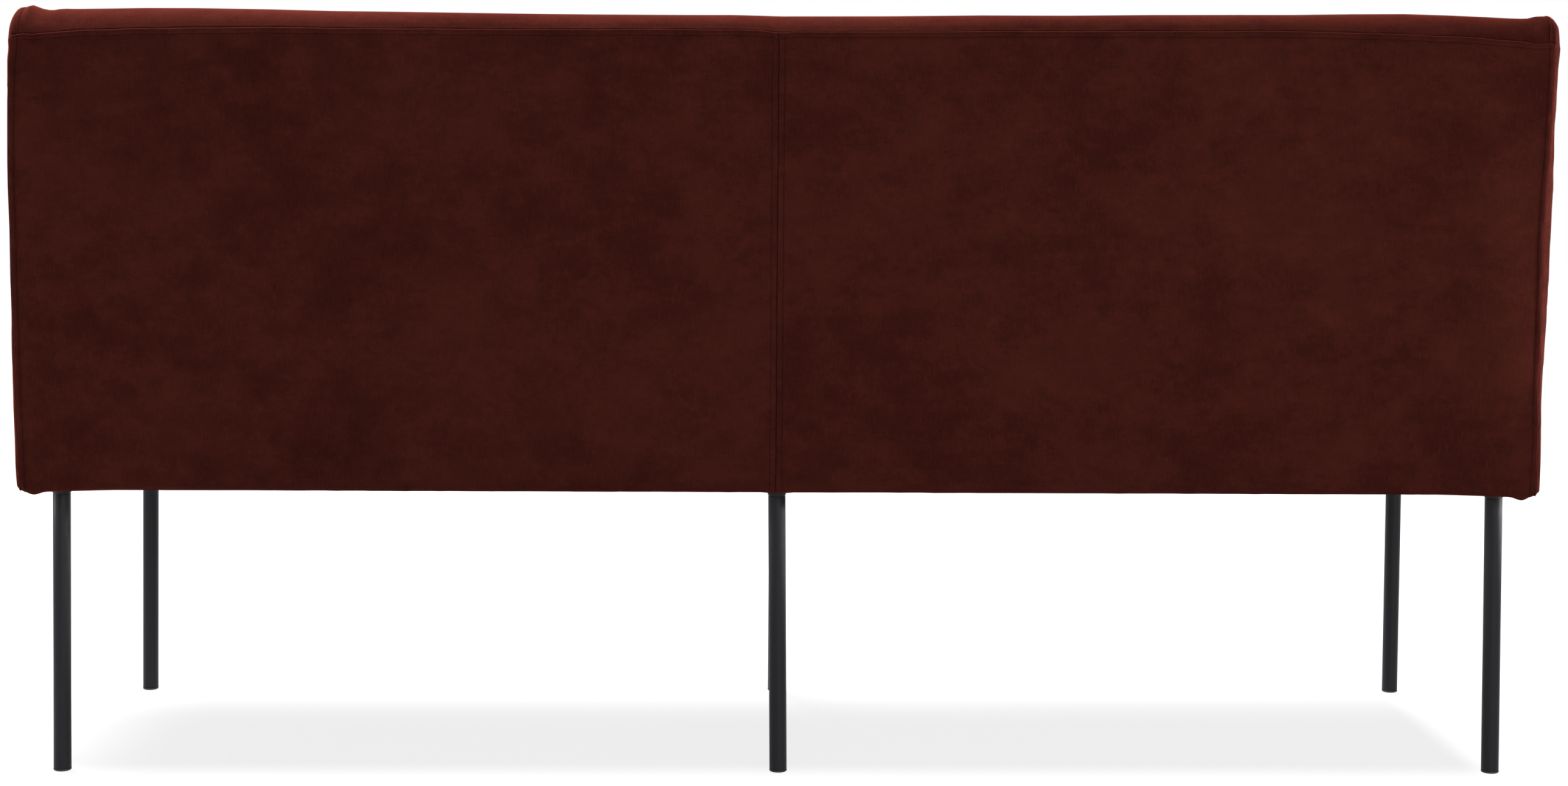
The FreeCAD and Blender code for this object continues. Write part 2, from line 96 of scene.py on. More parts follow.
# how the whole cover settles; its tables pair a place in mm with an offset in tenths of a mm
settled = {
    "topRise": ((-895, 19), (-880, 19), (-862, 1), (-840, 3), (-816, 19), (-770, 41), (-720, 57), (-660, 56),
                (-590, 48), (-520, 50), (-430, 49), (-330, 40), (-230, 40), (-120, 25), (0, 17), (60, 27), (120, 23),
                (270, 20), (450, 22), (520, 20), (590, 28), (680, 30), (740, 23), (805, 4), (848, -10), (862, -1),
                (874, 17), (885, 9), (895, 3)),
    "topFrom": 0.80, "topOver": 0.085,  # the rise fades in from this height, over this much
    "seamDrop": (0.0082, 0.0102), "dropFrom": 0.55, "dropOver": 0.32,  # at the -X and the +X end
    "seamFrom": 0.246, "seamOver": 0.050, "seamSpread": 0.055, "rollFrom": 0.006, "rollOver": 0.018,
    # how much lower the rear top seam runs than that, and how much lower the roll over it is at the corners
    "seamTrim": ((-880, 6), (-866, 8), (-855, -6), (-845, -13), (-834, -13), (-824, -6), (-793, -6), (-782, 0),
                 (-772, 0), (-761, 8), (-747, 14), (-664, 14), (-622, 8), (-580, 0), (-539, 0), (-497, 8), (-413, 8),
                 (-372, 14), (-20, 14), (4, 13), (46, 4), (171, 4), (213, 13), (714, 13), (756, -6), (770, -6),
                 (780, -13), (791, -20), (801, -27), (853, -27), (864, -13), (880, -13)),
    "cornerTrim": ((-895, 33), (-883, 4), (-872, -6), (-862, 6), (-851, 4), (-841, 0), (826, 0), (835, -4), (844, 0),
                   (853, 20), (863, 10), (874, -12), (884, 15), (895, 35)),
    # the lower edge: how high its straight runs lie, and how it dips at the legs and hangs at the corners
    "hemRise": 0.0030, "hemOver": 0.030, "hemEnd": 0.76, "hemFade": 0.08, "cornerHang": (0.0068, 0.0056),
    "hangX": 0.873, "hangWide": 0.010, "tuckX": 0.882, "tuckRise": 0.0030, "tuckOver": 0.012,
    "legDip": 0.0018, "legX": 0.850, "legWide": 0.016, "middleDip": 0.0021, "dipX": 0.003, "dipWide": 0.0165,
    "drawnIn": 0.0009,  # the side seams stand in from the fullest part of the side panels
    "highXEdge": ((338, -22), (371, -14), (413, -11), (479, -9), (515, -8), (544, -9), (586, -5), (646, -16),
                  (695, -14), (720, -19), (760, -33), (795, -47), (811, -59), (827, -69), (846, -83), (859, -104),
                  (875, -108), (886, -95), (900, -82)),
    "lowXEdge": ((338, 3), (377, 2), (407, 3), (443, -14), (473, -21), (503, -22), (544, -30), (598, -43),
                 (640, -55), (670, -51), (700, -48), (736, -36), (778, -31), (827, -33), (848, -26), (865, -37),
                 (876, -30), (885, -5), (892, 28), (900, 50)),
    # how much fuller or flatter than elsewhere the side panels are just past the rear seam, by height
    "highXFull": ((340, 16), (389, 11), (443, 9), (479, 3), (521, -3), (544, -8), (586, -26), (646, -31), (700, -36),
                  (760, -32), (800, -22), (810, -6), (826, -2), (844, 5), (860, 10), (876, 18), (900, 20)),
    "lowXFull": ((340, 28), (377, 28), (407, 18), (449, 16), (473, 21), (503, 26), (544, 40), (574, 46), (598, 54),
                 (640, 61), (700, 59), (736, 32), (778, 21), (827, 29), (847, 22), (865, 44), (885, 40), (900, 28)),
    "drawFrom": 0.60, "drawOver": 0.285, "rearFrom": 0.05, "rearOver": 0.15,
    "flatness": 0.0008, "waveCell": (0.17, 0.12), "waveFrom": 0.2, "waveOver": 0.05, "wander": 0.0004,
    "skin": 0.009, "skinOver": 0.006, "frontSkin": -0.287,  # the hem moves only what lies this near the outside
    "notch": 0.0013, "notchWide": 0.0125,  # the top fold is sewn down across the middle seam
}


def tableAt(name, places):  # one of the tables in settled, read off at the given places
    stations, offsets = np.array(settled[name]).T
    return np.interp(places, stations / 1000, offsets / 10000)


def endOf(name, x):  # the first of a pair toward -X, the second toward +X
    return np.where(x > 0, settled[name][1], settled[name][0])


def settle(points):
    x, y, z = points[..., 0], points[..., 1], points[..., 2]
    side, s = np.abs(x), settled
    rise = tableAt("topRise", x) * ease((z - s["topFrom"]) / s["topOver"])
    rise = rise - tableAt("cornerTrim", x) * ease((z - bench["topSeam"] - s["rollFrom"]) / s["rollOver"])
    drop = endOf("seamDrop", x) * (np.maximum(side - s["dropFrom"], 0) / s["dropOver"]) ** 2 + tableAt("seamTrim", x)
    wander = unevenness(x + 3, 0 * x, (0.085, 1), 17) + 0.5 * unevenness(x + 3, 0 * x, (0.034, 1), 18)
    notch = s["notch"] * np.exp(-((x - bench["middleX"]) / s["notchWide"]) ** 6)
    atSeam = ease((y - s["seamFrom"]) / s["seamOver"]) * np.exp(-((z - bench["topSeam"]) / s["seamSpread"]) ** 2)
    hem = s["hemRise"] * (1 - ease((side - s["hemEnd"]) / s["hemFade"]))
    hem = hem - s["legDip"] * np.exp(-((side - s["legX"]) / s["legWide"]) ** 2)
    hem = hem - s["middleDip"] * np.exp(-((x - s["dipX"]) / s["dipWide"]) ** 4)
    hem = hem - endOf("cornerHang", x) * np.exp(-((side - s["hangX"]) / s["hangWide"]) ** 2)
    hem = hem + s["tuckRise"] * ease((side - s["tuckX"]) / s["tuckOver"])
    low = np.clip(1 - (z - bench["under"]) / s["hemOver"], 0, 1) ** 2
    outside = np.maximum(ease((y - (rearLine(z) - s["skin"])) / s["skinOver"]),
                         ease((s["frontSkin"] - y) / s["skinOver"]))
    # only the rear seen in the photograph has uneven side edges
    byRear = ease((y - s["rearFrom"]) / s["rearOver"])
    edge = np.where(x > 0, tableAt("highXEdge", z), -tableAt("lowXEdge", z)) * byRear
    moved = points.copy()
    moved[..., 0] = x + (edge - np.sign(x) * s["drawnIn"]) * ease((side - s["drawFrom"]) / s["drawOver"])
    wave = unevenness(x + 3.0, z + 3.0, s["waveCell"], 11) * s["flatness"]
    moved[..., 1] = y + wave * ease((y - s["waveFrom"]) / s["waveOver"])
    moved[..., 2] = z + rise + (s["wander"] * wander - drop - notch) * atSeam + hem * low * outside
    return moved


# cloth
cloth = {"frames": 20, "pressure": 4.0, "mass": 0.35, "tension": 15.0, "shear": 6.0, "bending": 1.0, "foamHold": 1.0,
         "quality": 4, "damping": 1.0, "cell": 0.011}


def relaxCloth(points, faces, hold, cap, seed):  # how far a held sheet of cloth moves when it is filled
    mesh = bpy.data.meshes.new("filling")
    mesh.from_pydata(points.tolist(), [], faces)
    sheet = placed("filling", mesh)
    held = sheet.vertex_groups.new(name="held")
    for level in np.unique(np.round(hold, 3)):
        held.add(np.where(np.isclose(hold, level, atol=6e-4))[0].tolist(), float(level), "REPLACE")
    full = sheet.vertex_groups.new(name="full")  # the filling pushes more in some places than in others
    push = 0.55 + 0.45 * unevenness(points[:, 0] + 2, points[:, 1] + points[:, 2] + 2, (0.075, 0.060), seed)
    for level in range(11):
        near = np.where(np.round(push * 10) == level)[0]
        if len(near):
            full.add(near.tolist(), level / 10, "REPLACE")
    filled = sheet.modifiers.new("filling", "CLOTH")
    settings = filled.settings
    settings.quality, settings.mass, settings.air_damping = cloth["quality"], cloth["mass"], cloth["damping"]
    settings.tension_stiffness = settings.compression_stiffness = cloth["tension"]
    settings.shear_stiffness, settings.bending_stiffness = cloth["shear"], cloth["bending"]
    settings.use_pressure, settings.uniform_pressure_force = True, cloth["pressure"]
    settings.effector_weights.gravity = 0
    settings.vertex_group_mass, settings.pin_stiffness = "held", cloth["foamHold"]
    settings.vertex_group_pressure = "full"
    filled.collision_settings.use_collision = filled.collision_settings.use_self_collision = False
    for number in range(1, cloth["frames"] + 1):
        scene.frame_set(number)
    baked = sheet.evaluated_get(bpy.context.evaluated_depsgraph_get()).to_mesh()
    after = np.empty(len(points) * 3)
    baked.vertices.foreach_get("co", after)
    moved = after.reshape(-1, 3) - points
    scene.frame_set(1)
    bpy.data.objects.remove(sheet)
    bpy.data.meshes.remove(mesh)
    length = np.linalg.norm(moved, axis=1, keepdims=True)
    return moved * cap * np.tanh(length / cap) / np.maximum(length, 1e-9)


def blendWeights(coarse, fine):  # Catmull-Rom weights from one row of stations to another
    weights = np.zeros((len(fine), len(coarse)))
    at = np.interp(fine, coarse, np.arange(len(coarse)))
    low = np.clip(np.floor(at).astype(int), 0, len(coarse) - 2)
    t = at - low
    shares = (-0.5 * t + t * t - 0.5 * t ** 3, 1 - 2.5 * t * t + 1.5 * t ** 3,
              0.5 * t + 2 * t * t - 1.5 * t ** 3, -0.5 * t * t + 0.5 * t ** 3)
    for step, share in zip((-1, 0, 1, 2), shares):
        np.add.at(weights, (np.arange(len(fine)), np.clip(low + step, 0, len(coarse) - 1)), share)
    return weights


# seams
edgeRows = (0, 0.0004, 0.0009, 0.0015, 0.0022, 0.0030, 0.0040, 0.0050, 0.0057, 0.0062, 0.0067, 0.0072, 0.0078,
            0.0088, 0.0102, 0.0120, 0.0142, 0.0170, 0.0205, 0.0250)
softRows = (0, 0.0006, 0.0014, 0.0025, 0.0040, 0.0060, 0.0085, 0.0120, 0.0160, 0.0210)
seams = {name: dict(zip(("round", "lip", "stitch", "groove", "pucker", "reach"), values)) for name, values in {
    "side": (0.0014, 0.0008, 0.0062, 0.0004, 0.0005, 0.016),
    "top": (0.0024, 0.0011, 0.0064, 0.0003, 0.0004, 0.014),
    "strip": (0.0034, 0.0, None, 0.0, 0.0004, 0.010),
    "middle": (0.0012, 0.0004, 0.0068, 0.0003, 0.0003, 0.010),
    "hem": (0.0070, 0.0, None, 0.0, 0.0005, 0.018),
    "tuck": (0.0, 0.0, None, 0.0, 0.0, 0.01),
}.items()}


def seamRelief(distance, along, seam, seed):
    r, stitch = seam["round"], seam["stitch"]
    relief = np.zeros(np.broadcast(distance, along).shape)
    if r:
        relief = relief - np.where(distance < r, r - np.sqrt(np.maximum(r * r - (r - distance) ** 2, 0)), 0)
    if stitch:
        relief = relief + seam["lip"] * (1 - ease((distance - stitch + 0.0016) / 0.0016))
        relief = relief - seam["groove"] * np.exp(-((distance - stitch) / 0.0008) ** 2)
    fade = ease(distance / 0.004) * np.exp(-np.maximum(distance - (stitch or 0.003), 0) / seam["reach"])
    places = along + 5, distance + 5
    fine = unevenness(*places, (0.013, 0.05), seed) + 0.6 * unevenness(*places, (0.031, 0.08), seed + 1)
    return relief + seam["pucker"] * fine * fade


def rowsBetween(length, start, end, step):  # distances along a panel, finer towards its seams
    middle = length - start[-1] - end[-1]
    count = max(2, int(round(middle / step)))
    inner = start[-1] + middle * np.arange(1, count) / count
    return np.concatenate([np.array(start), inner, length - np.array(end)[::-1]])


def softened(lines, passes):  # eases the corners of section lines, ends held
    for _ in range(passes):
        lines[:, 1:-1] = 0.25 * lines[:, :-2] + 0.5 * lines[:, 1:-1] + 0.25 * lines[:, 2:]
    return lines


def alongLines(lines, rows, nominal):  # points at the given distances along each section line
    steps = np.linalg.norm(np.diff(lines, axis=1), axis=2)
    run = np.concatenate([np.zeros((len(lines), 1)), np.cumsum(steps, axis=1)], axis=1)
    out = np.empty((len(lines), len(rows), 2))
    share = ease(rows / nominal)
    for k in range(len(lines)):
        total = run[k, -1]
        at = np.clip(rows * (1 - share) + (total - (nominal - rows)) * share, 0, total)
        out[k, :, 0] = np.interp(at, run[k], lines[k, :, 0])
        out[k, :, 1] = np.interp(at, run[k], lines[k, :, 1])
    return out


def outwardOf(grid):  # grid[section, station]
    alongS = np.gradient(grid, axis=0)
    alongX = np.gradient(grid, axis=1)
    normal = np.cross(alongX, alongS)
    return normal / np.maximum(np.linalg.norm(normal, axis=2, keepdims=True), 1e-12)


def gridFaces(rows, columns):
    index = np.arange(rows * columns).reshape(rows, columns)
    quads = np.stack([index[:-1, :-1], index[:-1, 1:], index[1:, 1:], index[1:, :-1]], axis=-1)
    return quads.reshape(-1, 4)


def newPiece(name, points, faces, uv=None, merge=None, sharp=None, outward=True):
    mesh = bpy.data.meshes.new(name)
    mesh.from_pydata(points, [], faces)
    if uv is not None:
        layer = mesh.uv_layers.new(name="cloth")
        corners = np.empty(len(mesh.loops), dtype=int)
        mesh.loops.foreach_get("vertex_index", corners)
        layer.data.foreach_set("uv", uv[corners].ravel())
    edit = bmesh.new()
    edit.from_mesh(mesh)
    if merge:
        bmesh.ops.remove_doubles(edit, verts=edit.verts, dist=merge)
        bmesh.ops.dissolve_degenerate(edit, edges=edit.edges, dist=1e-7)
    if outward:
        bmesh.ops.recalc_face_normals(edit, faces=edit.faces)
    else:
        bmesh.ops.delete(edit, geom=[v for v in edit.verts if not v.link_faces], context="VERTS")
    edit.to_mesh(mesh)
    edit.free()
    if sharp != 0:
        mesh.polygons.foreach_set("use_smooth", [True] * len(mesh.polygons))
    if sharp:
        mesh.set_sharp_from_angle(angle=math.radians(sharp))
    return placed(name, mesh)


def shellFaces(rows, columns, start):  # an outer and an inner grid, joined round their border
    total = rows * columns
    shell = gridFaces(rows, columns)
    index = np.arange(total).reshape(rows, columns)
    border = np.concatenate([index[0, :], index[1:, -1], index[-1, -2::-1], index[-2:0:-1, 0]])
    after = np.roll(border, -1)
    rim = np.stack([border, border + total, after + total, after], axis=-1)
    return np.concatenate([shell, shell[:, ::-1] + total, rim]) + start


def closedMesh(name, shells):  # each shell is an outer and an inner layer, with the cloth's own u and v
    points, faces, flat, start = [], [], [], 0
    for outer, inner, clothU, clothV in shells:
        points += [outer.reshape(-1, 3), inner.reshape(-1, 3)]
        faces.append(shellFaces(*outer.shape[:2], start))
        flat.append(np.stack([np.tile(clothU.ravel(), 2), np.tile(clothV.ravel(), 2)], axis=-1))
        start += 2 * clothU.size
    return newPiece(name, np.concatenate(points).tolist(), np.concatenate(faces).tolist(), np.concatenate(flat),
                    merge=2e-6, sharp=55)


turned = {"low": 0.3390, "high": 0.3397, "frontY": (-0.2930, -0.2700), "rearY": (0.2240, 0.2430), "step": 0.012}


def turnedUnder(xs, along, seed):  # the strip of cover stapled under a plank, as one more shell
    count = max(2, int(round((xs[-1] - xs[0]) / turned["step"])))
    x, y = np.meshgrid(np.linspace(xs[0], xs[-1], count), np.linspace(*along, 9))
    wave = 0.00015 * unevenness(x + 2, y + 2, (0.02, 0.02), seed)
    low, high = (settle(np.stack([x, y, turned[level] + wave], -1)) for level in ("low", "high"))
    return low, high, x, y + 3


stitchRows = []  # the points of every topstitched row


def overStations(xs, flat):  # section points laid out over the stations along X
    grid = np.empty((flat.shape[1], len(xs), 3))
    grid[..., 0], grid[..., 1], grid[..., 2] = xs[None, :], flat[..., 0].T, flat[..., 1].T
    return grid


def swellOf(xs, sectionLines, nominal, rows, made, seed):  # the filling, on a coarser sheet of the same panel
    coarseX = np.linspace(xs[0], xs[-1], max(8, int(round((xs[-1] - xs[0]) / cloth["cell"]))))
    coarseS = np.linspace(0, nominal, max(8, int(round(nominal / cloth["cell"]))))
    sheet = overStations(coarseX, alongLines(sectionLines(coarseX), coarseS, nominal))
    hold = np.full(sheet.shape[:2], made["foam"])  # the foam under the cloth holds it a little everywhere
    hold[0, :], hold[-1, :], hold[:, 0], hold[:, -1] = 1, 1, 1, 1
    quads = gridFaces(*sheet.shape[:2]).tolist()
    moved = relaxCloth(sheet.reshape(-1, 3), quads, hold.ravel(), made["cap"], seed).reshape(sheet.shape)
    alongX, alongS = blendWeights(coarseX, xs), blendWeights(coarseS, rows)
    swell = np.stack([alongS @ moved[..., k] @ alongX.T for k in range(3)], axis=-1)
    nearEdge = np.minimum(np.minimum(xs - xs[0], xs[-1] - xs)[None, :], np.minimum(rows, nominal - rows)[:, None])
    return swell * ease(nearEdge / 0.012)[..., None]


def sewnPanel(name, xs, sectionLines, nominal, rows, seamsAt, innerOf, made, seed, under=None):
    grid = overStations(xs, alongLines(sectionLines(xs), rows, nominal))
    swell, normal = swellOf(xs, sectionLines, nominal, rows, made, seed), outwardOf(grid)
    relief = np.zeros(grid.shape[:2])
    distances = {"xLow": xs[None, :] - xs[0], "xHigh": xs[-1] - xs[None, :],
                 "start": rows[:, None], "end": nominal - rows[:, None]}
    for place, kind in seamsAt.items():
        along = rows[:, None] if place in ("xLow", "xHigh") else xs[None, :]
        relief = relief + seamRelief(distances[place], along, seams[kind], seed + len(place))
    lift = (swell * normal).sum(-1) * 1000
    print(name, "filling", [round(float(v), 2) for v in np.percentile(lift, (0, 5, 25, 50, 75, 95, 100))], "mm")
    outer, inner = settle(grid + swell + normal * relief[..., None]), settle(innerOf(grid))
    u, v = np.meshgrid(xs, rows)
    shells = [(outer, inner, u, v + seed * 0.37)]
    if under:
        shells.append(turnedUnder(xs, under, seed))
    piece = closedMesh(name, shells)
    for place, kind in seamsAt.items():
        stitch = seams[kind]["stitch"]
        if stitch:
            across = place in ("xLow", "xHigh")
            first, last = (xs[0], xs[-1]) if across else (0, nominal)
            at = first + stitch if place in ("xLow", "start") else last - stitch
            weights = blendWeights(xs if across else rows, np.array([at]))
            row, out = (np.stack([(layer[..., k] @ weights.T)[:, 0] if across else (weights @ layer[..., k])[0]
                                  for k in range(3)], axis=-1) for layer in (outer, outwardOf(outer)))
            clear = 0.004 if across else 0.003
            ends = rows if across else xs
            keep = (ends > ends[0] + clear) & (ends < ends[-1] - clear)
            stitchRows.append(row[keep] + out[keep] * stitches["lift"])
    return piece


stitches = {"pitch": 0.0029, "length": 0.0019, "thread": 0.00034, "lift": 0.00020, "skew": 0.18, "seed": 3,
            "segments": 6, "rings": 5}

# seat cushion
seat = {"bulge": 0.004, "crown": 0.006, "roll": 0.0398, "backDrop": 0.009, "inFront": -0.2859, "inLow": 0.4382,
        "cap": 0.006, "foam": 0.13, "step": 0.0066}


def seatLines(xs):
    pull = drawAt(xs)[:, None]
    face = bench["front"] + seat["bulge"] + bench["sideDraw"] * pull
    edge = bench["seatHeight"] - seat["crown"] - bench["sideDraw"] * pull
    crease = bench["seatHeight"] - seat["backDrop"] - bench["sideDraw"] * pull
    browZ, lipY = edge - seat["roll"], face + seat["roll"]
    t = np.linspace(0, 1, 110)[None, :]
    front = np.stack([face - seat["bulge"] * (1 - pull) * np.sin(math.pi * t),
                      bench["under"] + (browZ - bench["under"]) * t + 0 * face], -1)
    a = np.linspace(0, math.pi / 2, 60)[None, 1:]
    roll = np.stack([lipY - seat["roll"] * np.cos(a), browZ + seat["roll"] * np.sin(a)], -1)
    t = np.linspace(0, 1, 400)[None, 1:]
    crown = (seat["crown"] + (edge - crease) / 2) * (1 - pull)
    top = np.stack([lipY + (bench["creaseY"] - lipY) * t, edge + (crease - edge) * t + crown * np.sin(math.pi * t)], -1)
    t = np.linspace(0, 1, 42)[None, 1:]
    tuck = np.stack([bench["creaseY"] + 0 * t + 0 * crease, crease + (bench["tuckLow"] - 0.0024 - crease) * t], -1)
    return softened(np.concatenate([front, roll, top, tuck], axis=1), 70)


def seatInner(grid):
    inner = grid.copy()
    inner[..., 1] = np.maximum(grid[..., 1], seat["inFront"])
    inner[..., 2] = np.minimum(grid[..., 2], seat["inLow"])
    inner[..., 1] = np.where(grid[..., 2] < bench["under"] + 0.004, grid[..., 1] + 0.002, inner[..., 1])
    return inner


panelX = bench["seamX"] - bench["panelGap"]
fullRows = rowsBetween(2 * panelX, edgeRows, edgeRows, bench["step"]) - panelX


def nominalLength(sectionLines, x):
    line = sectionLines(np.array([x]))[0]
    return float(np.linalg.norm(np.diff(line, axis=0), axis=1).sum())


seatRun = nominalLength(seatLines, 0.0)
seatRows = rowsBetween(seatRun, softRows, softRows, seat["step"])
seatSeams = {"xLow": "side", "xHigh": "side", "start": "hem", "end": "tuck"}
seatCushion = sewnPanel("seatCushion", fullRows, seatLines, seatRun, seatRows, seatSeams, seatInner, seat, 21,
                        turned["frontY"])

# back cushion, rolled over the top
back = {"thickness": 0.096, "roll": 0.044, "crown": 0.012, "sag": 0.005, "ear": 0.001, "inDepth": 0.053,
        "inTop": 0.8625, "cap": 0.006, "foam": 0.14, "tuckGap": 0.0003, "step": 0.0066}


def backLines(xs):
    pull = drawAt(xs)[:, None]
    apexZ = bench["height"] - back["ear"] * (1 - pull) - back["sag"] * (1 - (xs[:, None] / bench["seamX"]) ** 2)
    rollZ = apexZ - back["roll"]
    rollY = rearLine(rollZ, 0) - back["thickness"] + bench["sideDraw"] * pull
    crease = bench["seatHeight"] - seat["backDrop"] - bench["sideDraw"] * pull
    startY = bench["creaseY"] + back["tuckGap"]
    t = np.linspace(0, 1, 40)[None, :]
    tuck = np.stack([startY + 0 * t + 0 * crease, bench["tuckLow"] + (crease - bench["tuckLow"]) * t], -1)
    t = np.linspace(0, 1, 370)[None, 1:]
    face = np.stack([startY + (rollY - startY) * t - back["crown"] * (1 - pull) * np.sin(math.pi * t),
                     crease + (rollZ - crease) * t], -1)
    a = np.linspace(0, math.pi / 2, 70)[None, 1:]
    roll = np.stack([rollY + back["roll"] * (1 - np.cos(a)), rollZ + back["roll"] * np.sin(a)], -1)
    apexY = rollY + back["roll"]
    endZ = bench["topSeam"] - 0.0002
    endY = rearLine(endZ, 0.0018)
    fall, run = apexZ - endZ, endY - apexY
    radius = (run ** 2 + fall ** 2) / (2 * fall)
    a = np.arcsin(run / radius) * np.linspace(0, 1, 60)[None, 1:]
    over = np.stack([apexY + radius * np.sin(a), apexZ - radius * (1 - np.cos(a))], -1)
    return softened(np.concatenate([tuck, face, roll, over], axis=1), 60)


def backInner(grid):
    inner = grid.copy()
    y, z = grid[..., 1], np.minimum(grid[..., 2], back["inTop"])
    inner[..., 2] = z
    front = rearLine(z, back["inDepth"]) - 0.0005
    behind = (grid[..., 2] > back["inTop"]) & (y > front)
    inner[..., 1] = np.where(behind, y, front)
    return inner


backRun = nominalLength(backLines, 0.0)
backRows = rowsBetween(backRun, softRows, edgeRows, back["step"])
backSeams = {"xLow": "side", "xHigh": "side", "start": "tuck", "end": "strip"}
backCushion = sewnPanel("backCushion", fullRows, backLines, backRun, backRows, backSeams, backInner, back, 33)

# rear panels
rear = {"bulge": 0.004, "thickness": 0.006, "cap": 0.003, "foam": 0.24, "middleGap": 0.00018, "step": 0.0060}


def rearLines(xs):
    pull = drawAt(xs)[:, None]
    t = np.linspace(0, 1, 540)[None, :]
    z = bench["topSeam"] + (bench["under"] - bench["topSeam"]) * t + 0 * pull
    return np.stack([rearLine(z) + rear["bulge"] * (1 - pull) * np.sin(math.pi * t), z], -1)


def rearInner(grid):
    inner = grid.copy()
    inner[..., 1] = rearLine(grid[..., 2], rear["thickness"])
    return inner


rearRun = nominalLength(rearLines, 0.3)
rearRows = rowsBetween(rearRun, edgeRows, softRows, rear["step"])
highRows = rowsBetween(panelX - bench["middleX"] - rear["middleGap"], edgeRows, edgeRows, rear["step"])
highRows = highRows + bench["middleX"] + rear["middleGap"]
lowRows = rowsBetween(panelX + bench["middleX"] - rear["middleGap"], edgeRows, edgeRows, rear["step"]) - panelX
rightSeams = {"xLow": "middle", "xHigh": "side", "start": "top", "end": "hem"}
leftSeams = {"xLow": "side", "xHigh": "middle", "start": "top", "end": "hem"}
rightRearPanel = sewnPanel("rightRearPanel", highRows, rearLines, rearRun, rearRows, rightSeams, rearInner, rear, 45,
                           turned["rearY"])
leftRearPanel = sewnPanel("leftRearPanel", lowRows, rearLines, rearRun, rearRows, leftSeams, rearInner, rear, 57,
                          turned["rearY"])
print("panels made")


# side panels
side = {"rise": 0.0104, "reach": 0.050, "power": 2.0, "base": 0.0001, "lift": 0.0009, "edgeStep": 0.0055,
        "fineStep": 0.0012, "step": 0.0072, "cap": 0.003, "foam": 0.24, "hemIn": bench["dustX"] - 0.014,
        "hemY": (-0.2855, 0.2440), "hemColumns": 6, "hemRows": 70, "fieldFrom": 0.041, "lastRings": (0.0300, 0.0360)}


def evenly(line, step):
    run = np.concatenate([[0], np.cumsum(np.linalg.norm(np.diff(line, axis=0), axis=1))])
    at = np.linspace(0, run[-1], max(2, int(round(run[-1] / step)) + 1))
    return np.stack([np.interp(at, run, line[:, 0]), np.interp(at, run, line[:, 1])], -1)


def sideOutline(step):
    x = np.array([bench["seamX"]])
    seatLine, backLine, rearPart = seatLines(x)[0], backLines(x)[0], rearLines(x)[0]
    seatPart = seatLine[seatLine[:, 0] < bench["creaseY"] - 0.0035]
    backPart = backLine[backLine[:, 1] > seatPart[-1, 1] + 0.002]
    parts = [seatPart, np.array([seatPart[-1], backPart[0]]), backPart, rearPart, np.array([rearPart[-1], seatPart[0]])]
    loop = np.concatenate([evenly(part, step)[:-1] for part in parts])
    keep = np.linalg.norm(loop - np.roll(loop, 1, axis=0), axis=1) > 1e-4
    return loop[keep]


def distanceTo(points, loop):
    after = np.roll(loop, -1, axis=0)
    along = after - loop
    best = np.full(len(points), 1e9)
    for start in range(0, len(points), 2000):
        part = points[start:start + 2000, None, :] - loop[None]
        t = np.clip((part * along).sum(-1) / np.maximum((along ** 2).sum(-1), 1e-12), 0, 1)
        best[start:start + 2000] = np.linalg.norm(part - t[..., None] * along, axis=2).min(axis=1)
    return best


def insideOf(points, loop):
    after = np.roll(loop, -1, axis=0)
    y, z = points[:, None, 0], points[:, None, 1]
    crossing = (loop[None, :, 1] > z) != (after[None, :, 1] > z)
    slope = (after[:, 0] - loop[:, 0]) / np.where(after[:, 1] == loop[:, 1], 1e-12, after[:, 1] - loop[:, 1])
    return (crossing & (y < loop[None, :, 0] + slope * (z - loop[None, :, 1]))).sum(1) % 2 == 1


def deepIn(points, loop, depth):  # those that lie inside the loop, further from it than depth
    points = points[insideOf(points, loop)]
    return points[distanceTo(points, loop) > depth]


